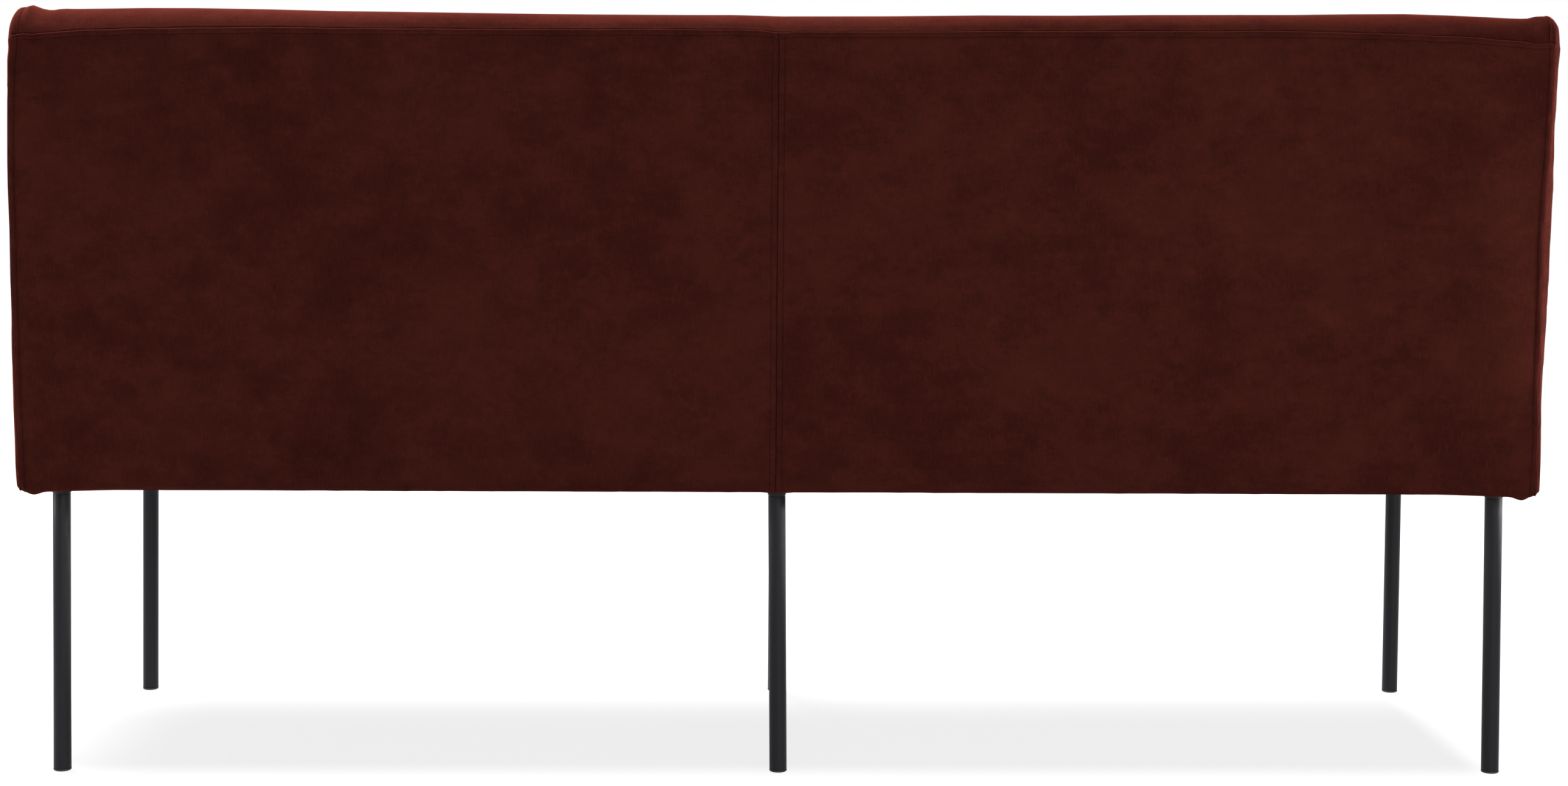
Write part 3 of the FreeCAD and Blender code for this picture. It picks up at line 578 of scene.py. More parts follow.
def sidePanel(name, sign, seed):
    loop = sideOutline(side["edgeStep"])
    ahead, behind = np.roll(loop, -1, axis=0), np.roll(loop, 1, axis=0)
    run = (ahead - behind) / np.linalg.norm(ahead - behind, axis=1, keepdims=True)
    inward = np.stack([run[:, 1], -run[:, 0]], -1)  # the outline runs clockwise seen from +X
    fine = sideOutline(side["fineStep"])
    rings = []
    for depth in edgeRows[1:] + side["lastRings"]:
        ring = deepIn(loop + inward * depth, fine, depth * 0.93)
        if len(ring):
            gaps = np.linalg.norm(ring - np.roll(ring, 1, axis=0), axis=1)
            rings.append(ring[gaps > 0.0008])
    low, high = loop.min(0), loop.max(0)
    y, z = np.meshgrid(np.arange(low[0], high[0], side["step"]), np.arange(low[1], high[1], side["step"] * 0.87))
    y = y + (np.arange(y.shape[0]) % 2)[:, None] * side["step"] / 2
    field = deepIn(np.stack([y.ravel(), z.ravel()], -1), fine, side["fieldFrom"])
    flat = np.concatenate([loop] + rings + [field])
    edges = [(k, (k + 1) % len(loop)) for k in range(len(loop))]
    found, _, faces, *_ = delaunay_2d_cdt([Vector(p) for p in flat.tolist()], edges, [], 1, 1e-6)
    flat = np.array([tuple(p) for p in found])
    faces = [list(face) for face in faces]
    depth = distanceTo(flat, fine)
    depth[:len(loop)] = np.where(depth[:len(loop)] < 2e-4, 0, depth[:len(loop)])
    crown = side["rise"] * (1 - (1 - np.clip(depth / side["reach"], 0, 1)) ** side["power"])
    base = np.stack([np.full(len(flat), bench["seamX"] + side["base"]), flat[:, 0], flat[:, 1]], -1)
    sheet = base.copy()
    sheet[:, 0] += crown
    hold = np.where(depth < 0.008, 1.0, np.where(depth < 0.014, 0.5, side["foam"]))
    swell = relaxCloth(sheet, faces, hold, side["cap"], seed)
    along = flat[:, 0] + flat[:, 1]
    seam = dict(seams["side"], lip=0.0004, stitch=None, pucker=0.0005)
    relief = seamRelief(depth, along, seam, seed) + seams["side"]["round"] * (depth > 0)
    relief = np.where(depth == 0, 0, np.maximum(relief, 0.0002) - 0.0012 * ease(depth / 0.006))
    outer = sheet + swell * ease(depth / 0.012)[:, None]
    outer[:, 0] += relief + side["lift"] * ease(depth / 0.004)
    full = tableAt("highXFull" if sign > 0 else "lowXFull", outer[:, 2])
    full = full * ease((outer[:, 1] - settled["rearFrom"]) / settled["rearOver"])
    besideSeam = ease(depth / 0.005) * (1 - 0.8 * ease((depth - 0.012) / 0.045))
    outer[:, 0] += full * np.where(full < 0, ease(depth / 0.0025), besideSeam)
    outer[:, 0] = np.maximum(outer[:, 0], base[:, 0] + 0.0003 * (depth > 0))
    points = np.concatenate([outer, base])
    points[:, 0] *= sign
    total, count = len(flat), len(flat) * 2
    hemY = np.linspace(*side["hemY"], side["hemRows"])
    hemX = np.linspace(side["hemIn"], bench["seamX"], side["hemColumns"])
    stripY, stripX = (part.ravel() for part in np.meshgrid(hemY, hemX, indexing="ij"))
    wave = 0.0002 * unevenness(stripY + 2, stripX + 2, (0.02, 0.02), seed)
    strips = [np.stack([sign * stripX, stripY, turned[level] + wave], -1) for level in ("low", "high")]
    points = np.concatenate([settle(points), *strips])
    faces += [[k + total for k in reversed(face)] for face in faces]
    faces += shellFaces(len(hemY), len(hemX), count).tolist()
    uv = np.stack([points[:, 1], points[:, 2] + seed * 0.41], -1)
    uv[count:] = points[count:, [1, 0]] + (0, 3)
    piece = newPiece(name, points.tolist(), faces, uv, merge=2e-6, sharp=60)
    print(name, len(piece.data.polygons), "faces")
    return piece


rightSidePanel = sidePanel("rightSidePanel", 1, 71)
leftSidePanel = sidePanel("leftSidePanel", -1, 83)


# nodes
def addNode(tree, kind, inputs=None, **settings):  # an input is a value, or the output that it is linked from
    node = tree.nodes.new(kind)
    for name, value in settings.items():
        setattr(node, name, value)
    for label, value in (inputs or {}).items():
        if hasattr(value, "id_data"):
            tree.links.new(value, node.inputs[label])
        else:
            node.inputs[label].default_value = value
    return node


def newTree(name, sockets):
    tree = bpy.data.node_groups.new(name, "GeometryNodeTree")
    for label, kind, value in [("Geometry", "Geometry", None), *sockets]:
        socket = tree.interface.new_socket(label, in_out="INPUT", socket_type="NodeSocket" + kind)
        if value is not None:
            socket.default_value = value
    tree.interface.new_socket("Geometry", in_out="OUTPUT", socket_type="NodeSocketGeometry")
    return tree, tree.nodes.new("NodeGroupInput").outputs


def setInputs(modifier, values):
    for item in modifier.node_group.interface.items_tree:
        if item.in_out == "INPUT" and item.name in values:
            modifier[item.identifier] = values[item.name]


def asMesh(source, name):  # the evaluated result as a plain mesh object
    depsgraph = bpy.context.evaluated_depsgraph_get()
    mesh = bpy.data.meshes.new_from_object(source.evaluated_get(depsgraph), depsgraph=depsgraph)
    mesh.name = name
    piece = placed(name, mesh)
    bpy.data.objects.remove(source)
    return piece


def lineObject(name, rows, closed=False):
    points, edges = [], []
    for row in rows:
        start = len(points)
        points += [tuple(p) for p in row]
        edges += [(start + k, start + k + 1) for k in range(len(row) - 1)]
        if closed:
            edges.append((start + len(row) - 1, start))
    mesh = bpy.data.meshes.new(name)
    mesh.from_pydata(points, edges, [])
    return placed(name, mesh)


def beadShape(tree, given):
    half = addNode(tree, "ShaderNodeMath", {0: given["Length"], 1: 0.5}, operation="MULTIPLY").outputs[0]
    size = addNode(tree, "ShaderNodeCombineXYZ", {"X": given["Thread"], "Y": given["Thread"], "Z": half})
    bead = addNode(tree, "GeometryNodeMeshUVSphere",
                   {"Segments": stitches["segments"], "Rings": stitches["rings"], "Radius": 1.0})
    return addNode(tree, "GeometryNodeTransform", {"Geometry": bead.outputs["Mesh"], "Scale": size.outputs[0]})


def objectShape(tree, given):
    return addNode(tree, "GeometryNodeObjectInfo", {"Object": given["Piece"]})


def treeAlong(name, sockets, shapeOf, axis, pivot, allWays, smooth):  # one shape set at even steps along lines
    tree, given = newTree(name, [("Pitch", "Float", 0.01), ("Turn", "Float", 0.18), ("Seed", "Int", 1),
                                 ("Material", "Material", None), *sockets])
    curve = addNode(tree, "GeometryNodeMeshToCurve", {"Mesh": given["Geometry"]}).outputs["Curve"]
    even = addNode(tree, "GeometryNodeResampleCurve", {"Curve": curve, "Length": given["Pitch"]}, mode="LENGTH")
    tangent = addNode(tree, "GeometryNodeInputTangent").outputs[0]
    facing = addNode(tree, "FunctionNodeAlignRotationToVector", {"Vector": tangent}, axis=axis, pivot_axis=pivot)
    least = addNode(tree, "ShaderNodeMath", {0: given["Turn"], 1: -1.0}, operation="MULTIPLY").outputs[0]
    if allWays:
        spread = addNode(tree, "FunctionNodeRandomValue", {0: least, 1: given["Turn"], "Seed": given["Seed"]},
                         data_type="FLOAT_VECTOR")
    else:
        angle = addNode(tree, "FunctionNodeRandomValue", {2: least, 3: given["Turn"], "Seed": given["Seed"]},
                        data_type="FLOAT")
        spread = addNode(tree, "ShaderNodeCombineXYZ", {"Z": angle.outputs[1]})
    turn = addNode(tree, "FunctionNodeEulerToRotation", {0: spread.outputs[0]})
    skewed = addNode(tree, "FunctionNodeRotateRotation", {0: facing.outputs[0], 1: turn.outputs[0]},
                     rotation_space="LOCAL")
    each = addNode(tree, "GeometryNodeInstanceOnPoints", {
        "Points": even.outputs["Curve"], "Instance": shapeOf(tree, given).outputs["Geometry"],
        "Rotation": skewed.outputs[0]})
    real = addNode(tree, "GeometryNodeRealizeInstances", {"Geometry": each.outputs["Instances"]})
    shaded = addNode(tree, "GeometryNodeSetShadeSmooth", {0: real.outputs["Geometry"], "Shade Smooth": smooth})
    finish = addNode(tree, "GeometryNodeSetMaterial", {"Geometry": shaded.outputs[0], "Material": given["Material"]})
    addNode(tree, "NodeGroupOutput", {"Geometry": finish.outputs["Geometry"]})
    return tree


def tubeFaces(start, rings, around):
    faces = []
    for k in range(rings - 1):
        for step in range(around):
            a, b = start + k * around + step, start + k * around + (step + 1) % around
            faces.append((a, b, b + around, a + around))
    return faces


# turned pieces: legs and glides
def turnedPiece(name, places, profile, segments, ripple=None):
    points, faces = [], []
    for x, y, (foot, head) in places:  # foot and head are how far the leg's two ends stand off to one side
        start = len(points)
        for radius, z in profile:
            for step in range(segments):
                a = 2 * math.pi * step / segments
                r = radius
                if ripple and ripple["low"] < z < ripple["high"] and radius > 0.009:
                    r += ripple["height"] * math.cos(ripple["count"] * a + 3 * math.sin(2 * a + x * 7)) \
                        * math.sin(math.pi * (z - ripple["low"]) / (ripple["high"] - ripple["low"]))
                lean = foot + (head - foot) * min(z / leg["closed"], 1)
                points.append((x + lean + r * math.cos(a), y + r * math.sin(a), z))
        faces += tubeFaces(start, len(profile), segments)
    return newPiece(name, points, faces, merge=1e-6, sharp=35)


leg = {"radius": 0.0103, "wall": 0.0018, "foot": 0.0030, "closed": 0.3318, "plank": 0.3398, "stud": 0.004,
       "bead": 0.00045, "segments": 72, "ripples": 11, "ripple": 0.00010}
legLean = {"rear_left_leg_tube": (-0.0030, -0.0008), "rear_centre_leg_tube": (0.0006, 0.0040),
           "rear_right_leg_tube": (0.0, -0.0020), "front_left_leg_tube": (-0.0003, -0.0008),
           "front_centre_leg_tube": (-0.0027, -0.0028), "front_right_leg_tube": (0.0015, -0.0009)}
legNames = [row + "_" + column + "_leg_tube" for row in ("rear", "front") for column in ("left", "centre", "right")]


def middleOf(node):
    low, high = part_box(node)
    return (low.x + high.x) / 2, (low.y + high.y) / 2


def legProfile(top):
    r, bore, plank = leg["radius"], leg["radius"] - leg["wall"], leg["plank"]
    bead = [(r, 0.3300), (r - 0.00035, 0.3305), (r - 0.00035, 0.3310), (r + leg["bead"] * 0.6, 0.3316),
            (r + leg["bead"], 0.3326), (r + leg["bead"], 0.3340), (r + leg["bead"] * 0.7, 0.3352),
            (r + leg["bead"] * 0.7, plank - 0.0002), (r + leg["bead"] * 0.4, plank)]
    wall = [(0, leg["closed"]), (bore, leg["closed"]), (bore, leg["foot"] + 0.0003), (bore + 0.0003, leg["foot"]),
            (r - 0.0004, leg["foot"]), (r, leg["foot"] + 0.0004), (r, 0.060), (r, 0.180), (r, 0.300)]
    stud = [(leg["stud"], plank)]
    thread = int((top - plank - 0.0010) / 0.00125)
    for turn in range(thread):
        z = plank + 0.0006 + turn * 0.00125
        stud += [(leg["stud"], z), (leg["stud"] - 0.0006, z + 0.0006)]
    return wall + bead + stud + [(leg["stud"], top - 0.0010), (leg["stud"] - 0.0006, top), (0, top)]


legs = []
for node in legNames:
    words = node.split("_")
    name = words[0] + words[1].capitalize() + "Leg"
    shape = legProfile(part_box(node)[1].z)
    beadRipple = {"low": 0.3308, "high": 0.3356, "height": leg["ripple"], "count": leg["ripples"]}
    legs.append(turnedPiece(name, [(*middleOf(node), legLean[node])], shape, leg["segments"], beadRipple))

glide = {"radius": 0.0105, "plug": 0.00845, "top": 0.017}
glideShape = [(0, 0.0), (0.0074, 0.0), (0.0088, 0.0002), (0.0097, 0.0006), (0.0103, 0.0012), (glide["radius"], 0.0018),
              (glide["radius"], 0.0026), (0.0103, 0.00290), (0.0100, 0.0030), (glide["plug"], 0.0030)]
for rib in range(4):  # barbed rings that hold the plug in the tube
    z = 0.0045 + rib * 0.0028
    glideShape += [(glide["plug"] - 0.0003, z), (glide["plug"], z + 0.0006), (glide["plug"] - 0.0003, z + 0.0018)]
glideShape += [(glide["plug"] - 0.0012, glide["top"]), (0, glide["top"])]
glides = turnedPiece("footGlides", [(*middleOf(node), (legLean[node][0],) * 2) for node in legNames], glideShape, 48)
print("legs and glides made")

# dust cover under the seat
dust = {"x": bench["dustX"], "front": -0.284, "rear": 0.234, "z": 0.3385, "thick": 0.0008, "cut": 0.012, "sag": 0.0022,
        "staplePitch": 0.055, "stapleIn": 0.007, "stapleWide": 0.010, "stapleLeg": 0.0016, "wire": 0.0006,
        "stapleTurn": 0.18, "cornerClear": 0.03, "seed": 9}


def dustLines(low, high, cuts, step):
    stops = sorted({low, high, *[c + s for c in cuts for s in (-dust["cut"], dust["cut"])]})
    out = []
    for a, b in zip(stops[:-1], stops[1:]):
        out += list(np.linspace(a, b, max(1, int(round((b - a) / step))) + 1)[:-1])
    return np.array(out + [high])


legSpots = [middleOf(node) for node in legNames]
dustX = dustLines(-dust["x"], dust["x"], sorted({round(x, 5) for x, _ in legSpots}), 0.010)
dustY = dustLines(dust["front"], dust["rear"], sorted({round(y, 5) for _, y in legSpots}), 0.010)
dx, dy = np.meshgrid(dustX, dustY)
edge = np.minimum.reduce([dust["x"] - np.abs(dx), dy - dust["front"], dust["rear"] - dy])
toLeg = np.min([np.hypot(dx - x, dy - y) for x, y in legSpots], axis=0)
free = ease((edge - 0.075) / 0.06) * ease((toLeg - 0.04) / 0.06)  # it lies on the planks near its edges
sag = dust["sag"] * free * (0.75 + 0.5 * unevenness(dx + 2, dy + 2, (0.16, 0.12), 5))
crease = 0.00035 * unevenness(dx + 2, dy + 2, (0.020, 0.020), 6) * (1 - ease((edge - 0.02) / 0.06))
dz = dust["z"] - sag + crease
faces = []
for j in range(len(dustY) - 1):
    for i in range(len(dustX) - 1):
        mx, my = (dustX[i] + dustX[i + 1]) / 2, (dustY[j] + dustY[j + 1]) / 2
        if all(max(abs(mx - x), abs(my - y)) > dust["cut"] for x, y in legSpots):
            k = j * len(dustX) + i
            faces.append((k, k + len(dustX), k + len(dustX) + 1, k + 1))
dustCover = newPiece("dustCover", np.stack([dx, dy, dz], -1).reshape(-1, 3).tolist(), faces,
                     uv=np.stack([dx.ravel(), dy.ravel()], -1), outward=False)
thick = dustCover.modifiers.new("thickness", "SOLIDIFY")
thick.thickness, thick.offset = dust["thick"], 0.0


def stapleObject():
    half, wire, end = dust["stapleWide"] / 2, dust["wire"], dust["stapleLeg"]
    path = [(-half, 0, end), (-half, 0, 0.0003), (-half + wire, 0, 0), (half - wire, 0, 0), (half, 0, 0.0003),
            (half, 0, end)]
    points = []
    for k, (x, y, z) in enumerate(path):
        before, after = Vector(path[max(k - 1, 0)]), Vector(path[min(k + 1, len(path) - 1)])
        run = (after - before).normalized()
        across = Vector((0, 1, 0))
        up = run.cross(across)
        for a in (45, 135, 225, 315):
            r = wire / 2 * 1.2
            offset = across * (math.cos(math.radians(a)) * r * 1.5) + up * (math.sin(math.radians(a)) * r)
            points.append(tuple(Vector((x, y, z)) + offset))
    ends = [(3, 2, 1, 0), tuple(len(path) * 4 - 4 + s for s in range(4))]
    return newPiece("staple", points, tubeFaces(0, len(path), 4) + ends, sharp=0)


# materials
def tone(red, green, blue):  # sRGB 0 to 255 to a linear colour
    linear = [(c / 255 / 12.92 if c <= 10 else ((c / 255 + 0.055) / 1.055) ** 2.4) for c in (red, green, blue)]
    return (*linear, 1.0)


def mathOf(operation, a, b=0.0):  # one of the two is a socket, which says what tree this belongs to
    tree = (a if hasattr(a, "id_data") else b).id_data
    return addNode(tree, "ShaderNodeMath", {0: a, 1: b}, operation=operation).outputs[0]


def times(a, b):
    return mathOf("MULTIPLY", a, b)


def plus(a, b):
    return mathOf("ADD", a, b)


def noiseOf(vector, stretch, detail=2.0, rough=0.5):
    tree = vector.id_data
    scaled = addNode(tree, "ShaderNodeVectorMath", {0: vector, 1: stretch}, operation="MULTIPLY").outputs[0]
    return addNode(tree, "ShaderNodeTexNoise", {"Vector": scaled, "Scale": 1.0, "Detail": detail,
                                                "Roughness": rough}).outputs["Fac"]


def rangeOf(value, low, high, toLow=0.0, toHigh=1.0):
    return addNode(value.id_data, "ShaderNodeMapRange", {0: value, 1: low, 2: high, 3: toLow, 4: toHigh},
                   interpolation_type="SMOOTHSTEP").outputs[0]


def mixOf(share, a, b, blend="MIX"):
    return addNode(b.id_data, "ShaderNodeMix", {0: share, 6: a, 7: b}, data_type="RGBA", blend_type=blend).outputs[2]


def shaderGroup(name, inputs):  # an input is given with its kind, or as a number where it is one
    tree = bpy.data.node_groups.new(name, "ShaderNodeTree")
    for label, value in inputs.items():
        kind = value if isinstance(value, str) else "Float"
        socket = tree.interface.new_socket(label, in_out="INPUT", socket_type="NodeSocket" + kind)
        if kind == "Float":
            socket.default_value = value
    for label, kind in (("Color", "Color"), ("Roughness", "Float"), ("Height", "Float")):
        tree.interface.new_socket(label, in_out="OUTPUT", socket_type="NodeSocket" + kind)
    return tree, tree.nodes.new("NodeGroupInput").outputs


def closeGroup(tree, color, rough, height):
    addNode(tree, "NodeGroupOutput", {"Color": color, "Roughness": rough, "Height": height})
    return tree


def axesOf(vector):
    return addNode(vector.id_data, "ShaderNodeSeparateXYZ", {0: vector}).outputs


def buildVelvetWeave():
    tree, out = shaderGroup("slubbed pile", {"Cloth": "Vector", "Deep": "Color", "Body": "Color", "Bright": "Color",
                                             "Mottle": 1.0, "Slub": 1.0})
    cloth, deep, bright = out["Cloth"], out["Deep"], out["Bright"]
    wide = rangeOf(noiseOf(cloth, (4.4, 5.6, 1), 8.0, 0.78), 0.42, 0.58)
    patch = rangeOf(noiseOf(cloth, (13, 17, 1), 7.0, 0.80), 0.42, 0.62)
    down = rangeOf(noiseOf(cloth, (880, 62, 1), 2.0, 0.6), 0.50, 0.70)
    across = rangeOf(noiseOf(cloth, (74, 900, 1), 2.0, 0.6), 0.50, 0.70)
    speck = rangeOf(noiseOf(cloth, (980, 980, 1), 2.0, 0.7), 0.34, 0.66)
    nap = rangeOf(noiseOf(cloth, (60, 80, 1), 3.0, 0.65), 0.32, 0.70)
    color = mixOf(times(wide, out["Mottle"]), deep, out["Body"])
    color = mixOf(times(times(patch, out["Mottle"]), 0.35), color, bright)
    color = mixOf(times(nap, 0.22), color, deep)
    color = mixOf(times(times(down, out["Slub"]), 0.29), color, bright)
    color = mixOf(times(times(across, out["Slub"]), 0.36), color, deep)
    color = mixOf(times(speck, 0.44), color, bright)
    benchAxes = axesOf(tree.nodes.new("ShaderNodeTexCoord").outputs["Object"])
    paintedSideLight = rangeOf(benchAxes["X"], -0.7, 1.0, 0.10, -0.09)  # painted light and shade below the top roll: the velvet is lighter toward -X and darker toward +X, as uneven lamp light would fall
    paintedSideLight = times(paintedSideLight, rangeOf(benchAxes["Z"], 0.862, 0.872, 1.0, 0.0))
    color = mixOf(1.0, color, plus(paintedSideLight, 1.0), "MULTIPLY")
    height = times(plus(plus(times(down, 0.6), times(across, 0.6)), times(speck, 0.35)), out["Slub"])
    return closeGroup(tree, color, plus(times(patch, -0.10), 0.92), height)


def buildSurfaceGrain():
    tree, out = shaderGroup("fine surface grain", {"Place": "Vector", "Color A": "Color", "Color B": "Color",
                                                   "Grain": 1500.0, "Cloud": 30.0, "Low": 0.4, "High": 0.6})

    def scaled(scale):
        noise = addNode(tree, "ShaderNodeTexNoise", {"Vector": out["Place"], "Scale": out[scale], "Detail": 3.0})
        return rangeOf(noise.outputs["Fac"], 0.3, 0.7)

    grain, cloud = scaled("Grain"), scaled("Cloud")
    share = times(plus(grain, cloud), 0.5)
    rough = plus(times(share, mathOf("SUBTRACT", out["High"], out["Low"])), out["Low"])
    return closeGroup(tree, mixOf(share, out["Color A"], out["Color B"]), rough, grain)


def buildTimberGrain():
    tree, out = shaderGroup("timber grain", {"Along": "Vector", "Early": "Color", "Late": "Color", "Rings": 150.0})
    axes, bend = axesOf(out["Along"]), noiseOf(out["Along"], (2.2, 16, 16))
    radial = plus(plus(times(axes[1], 0.62), times(axes[2], 0.9)), times(bend, 0.055))
    late = rangeOf(mathOf("FRACT", times(radial, out["Rings"])), 0.45, 0.97)
    fibre = rangeOf(noiseOf(out["Along"], (14, 900, 900)), 0.35, 0.7)
    color = mixOf(times(late, 0.75), out["Early"], out["Late"])
    color = mixOf(times(fibre, 0.22), color, out["Late"])
    return closeGroup(tree, color, plus(times(late, -0.12), 0.68), plus(fibre, late))


def buildWovenStrap():
    tree, out = shaderGroup("woven strap", {"Place": "Vector", "Warp": "Color", "Weft": "Color", "Threads": 520.0})
    waves = [mathOf("SINE", times(times(axis, out["Threads"]), 3.14159)) for axis in axesOf(out["Place"])]
    height = rangeOf(plus(times(waves[0], waves[1]), times(times(waves[0], waves[2]), 0.6)), -0.9, 0.9)
    fuzz = noiseOf(out["Place"], (300, 300, 300))
    return closeGroup(tree, mixOf(height, out["Weft"], out["Warp"]), plus(times(fuzz, 0.15), 0.75), height)


groups = {"velvet": buildVelvetWeave(), "grain": buildSurfaceGrain(), "timber": buildTimberGrain(),
          "strap": buildWovenStrap()}


def newMaterial(name, group, values, bump, shader, clothUv=False, turn=None):
    material = bpy.data.materials.new(name)
    material.use_nodes = True
    tree = material.node_tree
    principled = tree.nodes["Principled BSDF"]
    for label, value in shader.items():
        principled.inputs[label].default_value = value
    if clothUv:
        vector = addNode(tree, "ShaderNodeUVMap", uv_map="cloth").outputs["UV"]
    else:
        vector = tree.nodes.new("ShaderNodeTexCoord").outputs["Object"]
    if turn:
        vector = addNode(tree, "ShaderNodeMapping", {"Vector": vector, "Rotation": turn}).outputs["Vector"]
    effect = addNode(tree, "ShaderNodeGroup", {0: vector, **values}, node_tree=groups[group]).outputs
    raised = addNode(tree, "ShaderNodeBump", {"Height": effect["Height"], "Strength": bump[0], "Distance": bump[1]})
    for label, given in (("Base Color", effect["Color"]), ("Roughness", effect["Roughness"]),
                         ("Normal", raised.outputs["Normal"])):
        tree.links.new(given, principled.inputs[label])
    return material


def grained(name, tones, scales, roughness, bump, shader):  # tones are grey levels or red, green and blue
    first, second = (tone(*(t if isinstance(t, tuple) else (t, t, t))) for t in tones)
    return newMaterial(name, "grain", {"Color A": first, "Color B": second, "Grain": scales[0], "Cloud": scales[1],
                                       "Low": roughness[0], "High": roughness[1]}, bump, shader)


velvet = newMaterial("rust velvet", "velvet",
                     {"Deep": tone(31, 10, 8.5), "Body": tone(45, 18, 13.8), "Bright": tone(67, 28, 22.5),
                      "Mottle": 0.9, "Slub": 1.0}, (0.35, 0.0004),
                     {"Sheen Weight": 0.19, "Sheen Roughness": 0.29, "Sheen Tint": (0.90, 0.135, 0.085, 1),
                      "Specular IOR Level": 0.0}, clothUv=True)
thread = grained("rust thread", ((23, 8, 6), (35, 13, 10)), (2600, 60), (0.65, 0.85), (0.3, 0.0001),
                 {"Specular IOR Level": 0.0})
powderCoat = grained("black powder coat", ((12, 12.5, 16), (17, 18, 22)), (2200, 25), (0.46, 0.58), (0.25, 0.0001),
                     {"Specular IOR Level": 0.2})
glidePlastic = grained("black glide plastic", (24, 30), (1800, 90), (0.5, 0.62), (0.15, 0.0001),
                       {"Specular IOR Level": 0.4})
zinc = grained("zinc plate", ((176, 176, 172), (206, 206, 203)), (700, 120), (0.28, 0.42), (0.1, 0.0001),
               {"Metallic": 1.0})
pine = {"Early": tone(214, 178, 128), "Late": tone(176, 124, 74), "Rings": 150.0}
timberX = newMaterial("softwood along X", "timber", pine, (0.3, 0.0003), {})
timberY = newMaterial("softwood along Y", "timber", pine, (0.3, 0.0003), {}, turn=(0, 0, math.pi / 2))
timberZ = newMaterial("softwood along Z", "timber", pine, (0.3, 0.0003), {}, turn=(0, math.pi / 2, 0))
plywood = newMaterial("plywood", "timber", {"Early": tone(206, 172, 124), "Late": tone(160, 116, 72), "Rings": 320.0},
                      (0.2, 0.0003), {}, turn=(0, 0.0, 0.6))
hardboard = grained("brown hardboard", ((112, 74, 44), (142, 98, 62)), (600, 22), (0.5, 0.75), (0.2, 0.0003), {})
strap = newMaterial("woven webbing", "strap", {"Warp": tone(66, 62, 58), "Weft": tone(38, 36, 34)}, (0.6, 0.0006),
                    {"Sheen Weight": 0.2})
felt = grained("grey felt", (96, (134, 132, 130)), (380, 40), (0.85, 1.0), (0.5, 0.0008), {"Sheen Weight": 0.3})
dustCloth = grained("black dust cloth", ((24, 24, 25), (40, 40, 41)), (900, 70), (0.8, 0.95), (0.5, 0.0004),
                    {"Sheen Weight": 0.15})
print("materials made")

for piece, material in ((seatCushion, velvet), (backCushion, velvet), (rightRearPanel, velvet),
                        (leftRearPanel, velvet), (rightSidePanel, velvet), (leftSidePanel, velvet),
                        (glides, glidePlastic), (dustCover, dustCloth), *[(one, powderCoat) for one in legs]):
    piece.data.materials.clear()
    piece.data.materials.append(material)

# topstitching and staples
lines = lineObject("stitchLines", stitchRows)
sewing = lines.modifiers.new("topstitch", "NODES")
sewing.node_group = treeAlong("topstitch along a line", [
    ("Length", "Float", 0.002), ("Thread", "Float", 0.0004)], beadShape, "Z", "AUTO", True, True)
setInputs(sewing, {"Material": thread, "Pitch": stitches["pitch"], "Length": stitches["length"],
                   "Thread": stitches["thread"], "Turn": stitches["skew"], "Seed": stitches["seed"]})
topstitching = asMesh(lines, "topstitching")
staple = stapleObject()
inX, inFront, inRear = dust["x"] - dust["stapleIn"], dust["front"] + dust["stapleIn"], dust["rear"] - dust["stapleIn"]
level, clear = dust["z"] - dust["thick"] / 2 - dust["wire"] / 2, dust["cornerClear"]
stapleEdges = [[(-inX + clear, y, level), (inX - clear, y, level)] for y in (inFront, inRear)]
stapleEdges += [[(x, inFront + clear, level), (x, inRear - clear, level)] for x in (-inX, inX)]
edges = lineObject("stapleLines", stapleEdges)
fixing = edges.modifiers.new("staples", "NODES")
fixing.node_group = treeAlong("staples along an edge", [("Piece", "Object", None)], objectShape, "X", "Z",
                              False, False)
setInputs(fixing, {"Material": zinc, "Piece": staple, "Pitch": dust["staplePitch"], "Turn": dust["stapleTurn"],
                   "Seed": dust["seed"]})
dustStaples = asMesh(edges, "dustStaples")
bpy.data.objects.remove(staple)
print("stitches", len(topstitching.data.polygons), "faces, staples", len(dustStaples.data.polygons), "faces")

# finishes for the frame inside
finishes = {
    timberX: ("front_base_plank", "rear_base_plank", "front_seat_rail", "rear_seat_rail", "back_top_rail"),
    timberY: ("left_base_plank", "centre_base_plank", "right_base_plank", "left_seat_rail", "right_seat_rail",
              "left_cross_rail", "centre_cross_rail", "right_cross_rail"),
    timberZ: ("left_end_upright", "right_end_upright", "left_upright", "centre_upright", "right_upright"),
    plywood: ("corner_blocks",), hardboard: ("back_board",), strap: ("seat_webbing", "back_webbing"),
    felt: ("seat_felt",), zinc: ("leg_inserts",),
}
for material, names in finishes.items():
    for name in names:
        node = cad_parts[name]
        node.data.materials.clear()
        node.data.materials.append(material)

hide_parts("seat_cover", "seat_foam", "front_padding")
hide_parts("inside_back_cover", "back_foam", "top_foam")
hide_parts("right_rear_cover", "rear_padding")
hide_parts("left_rear_cover")
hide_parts("right_side_cover", "right_seat_padding", "right_back_padding")
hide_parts("left_side_cover", "left_seat_padding", "left_back_padding")
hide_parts("dust_cover")
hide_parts("leg_glides")
for piece, node in zip(legs, legNames):
    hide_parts(node)
fills = {seatCushion: 0.9, backCushion: 0.9, rightRearPanel: 1.0, leftRearPanel: 1.0, rightSidePanel: 0.9,
         leftSidePanel: 0.9}
for piece in (*fills, topstitching, dustCover, dustStaples, glides, *legs):
    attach(piece, "root")

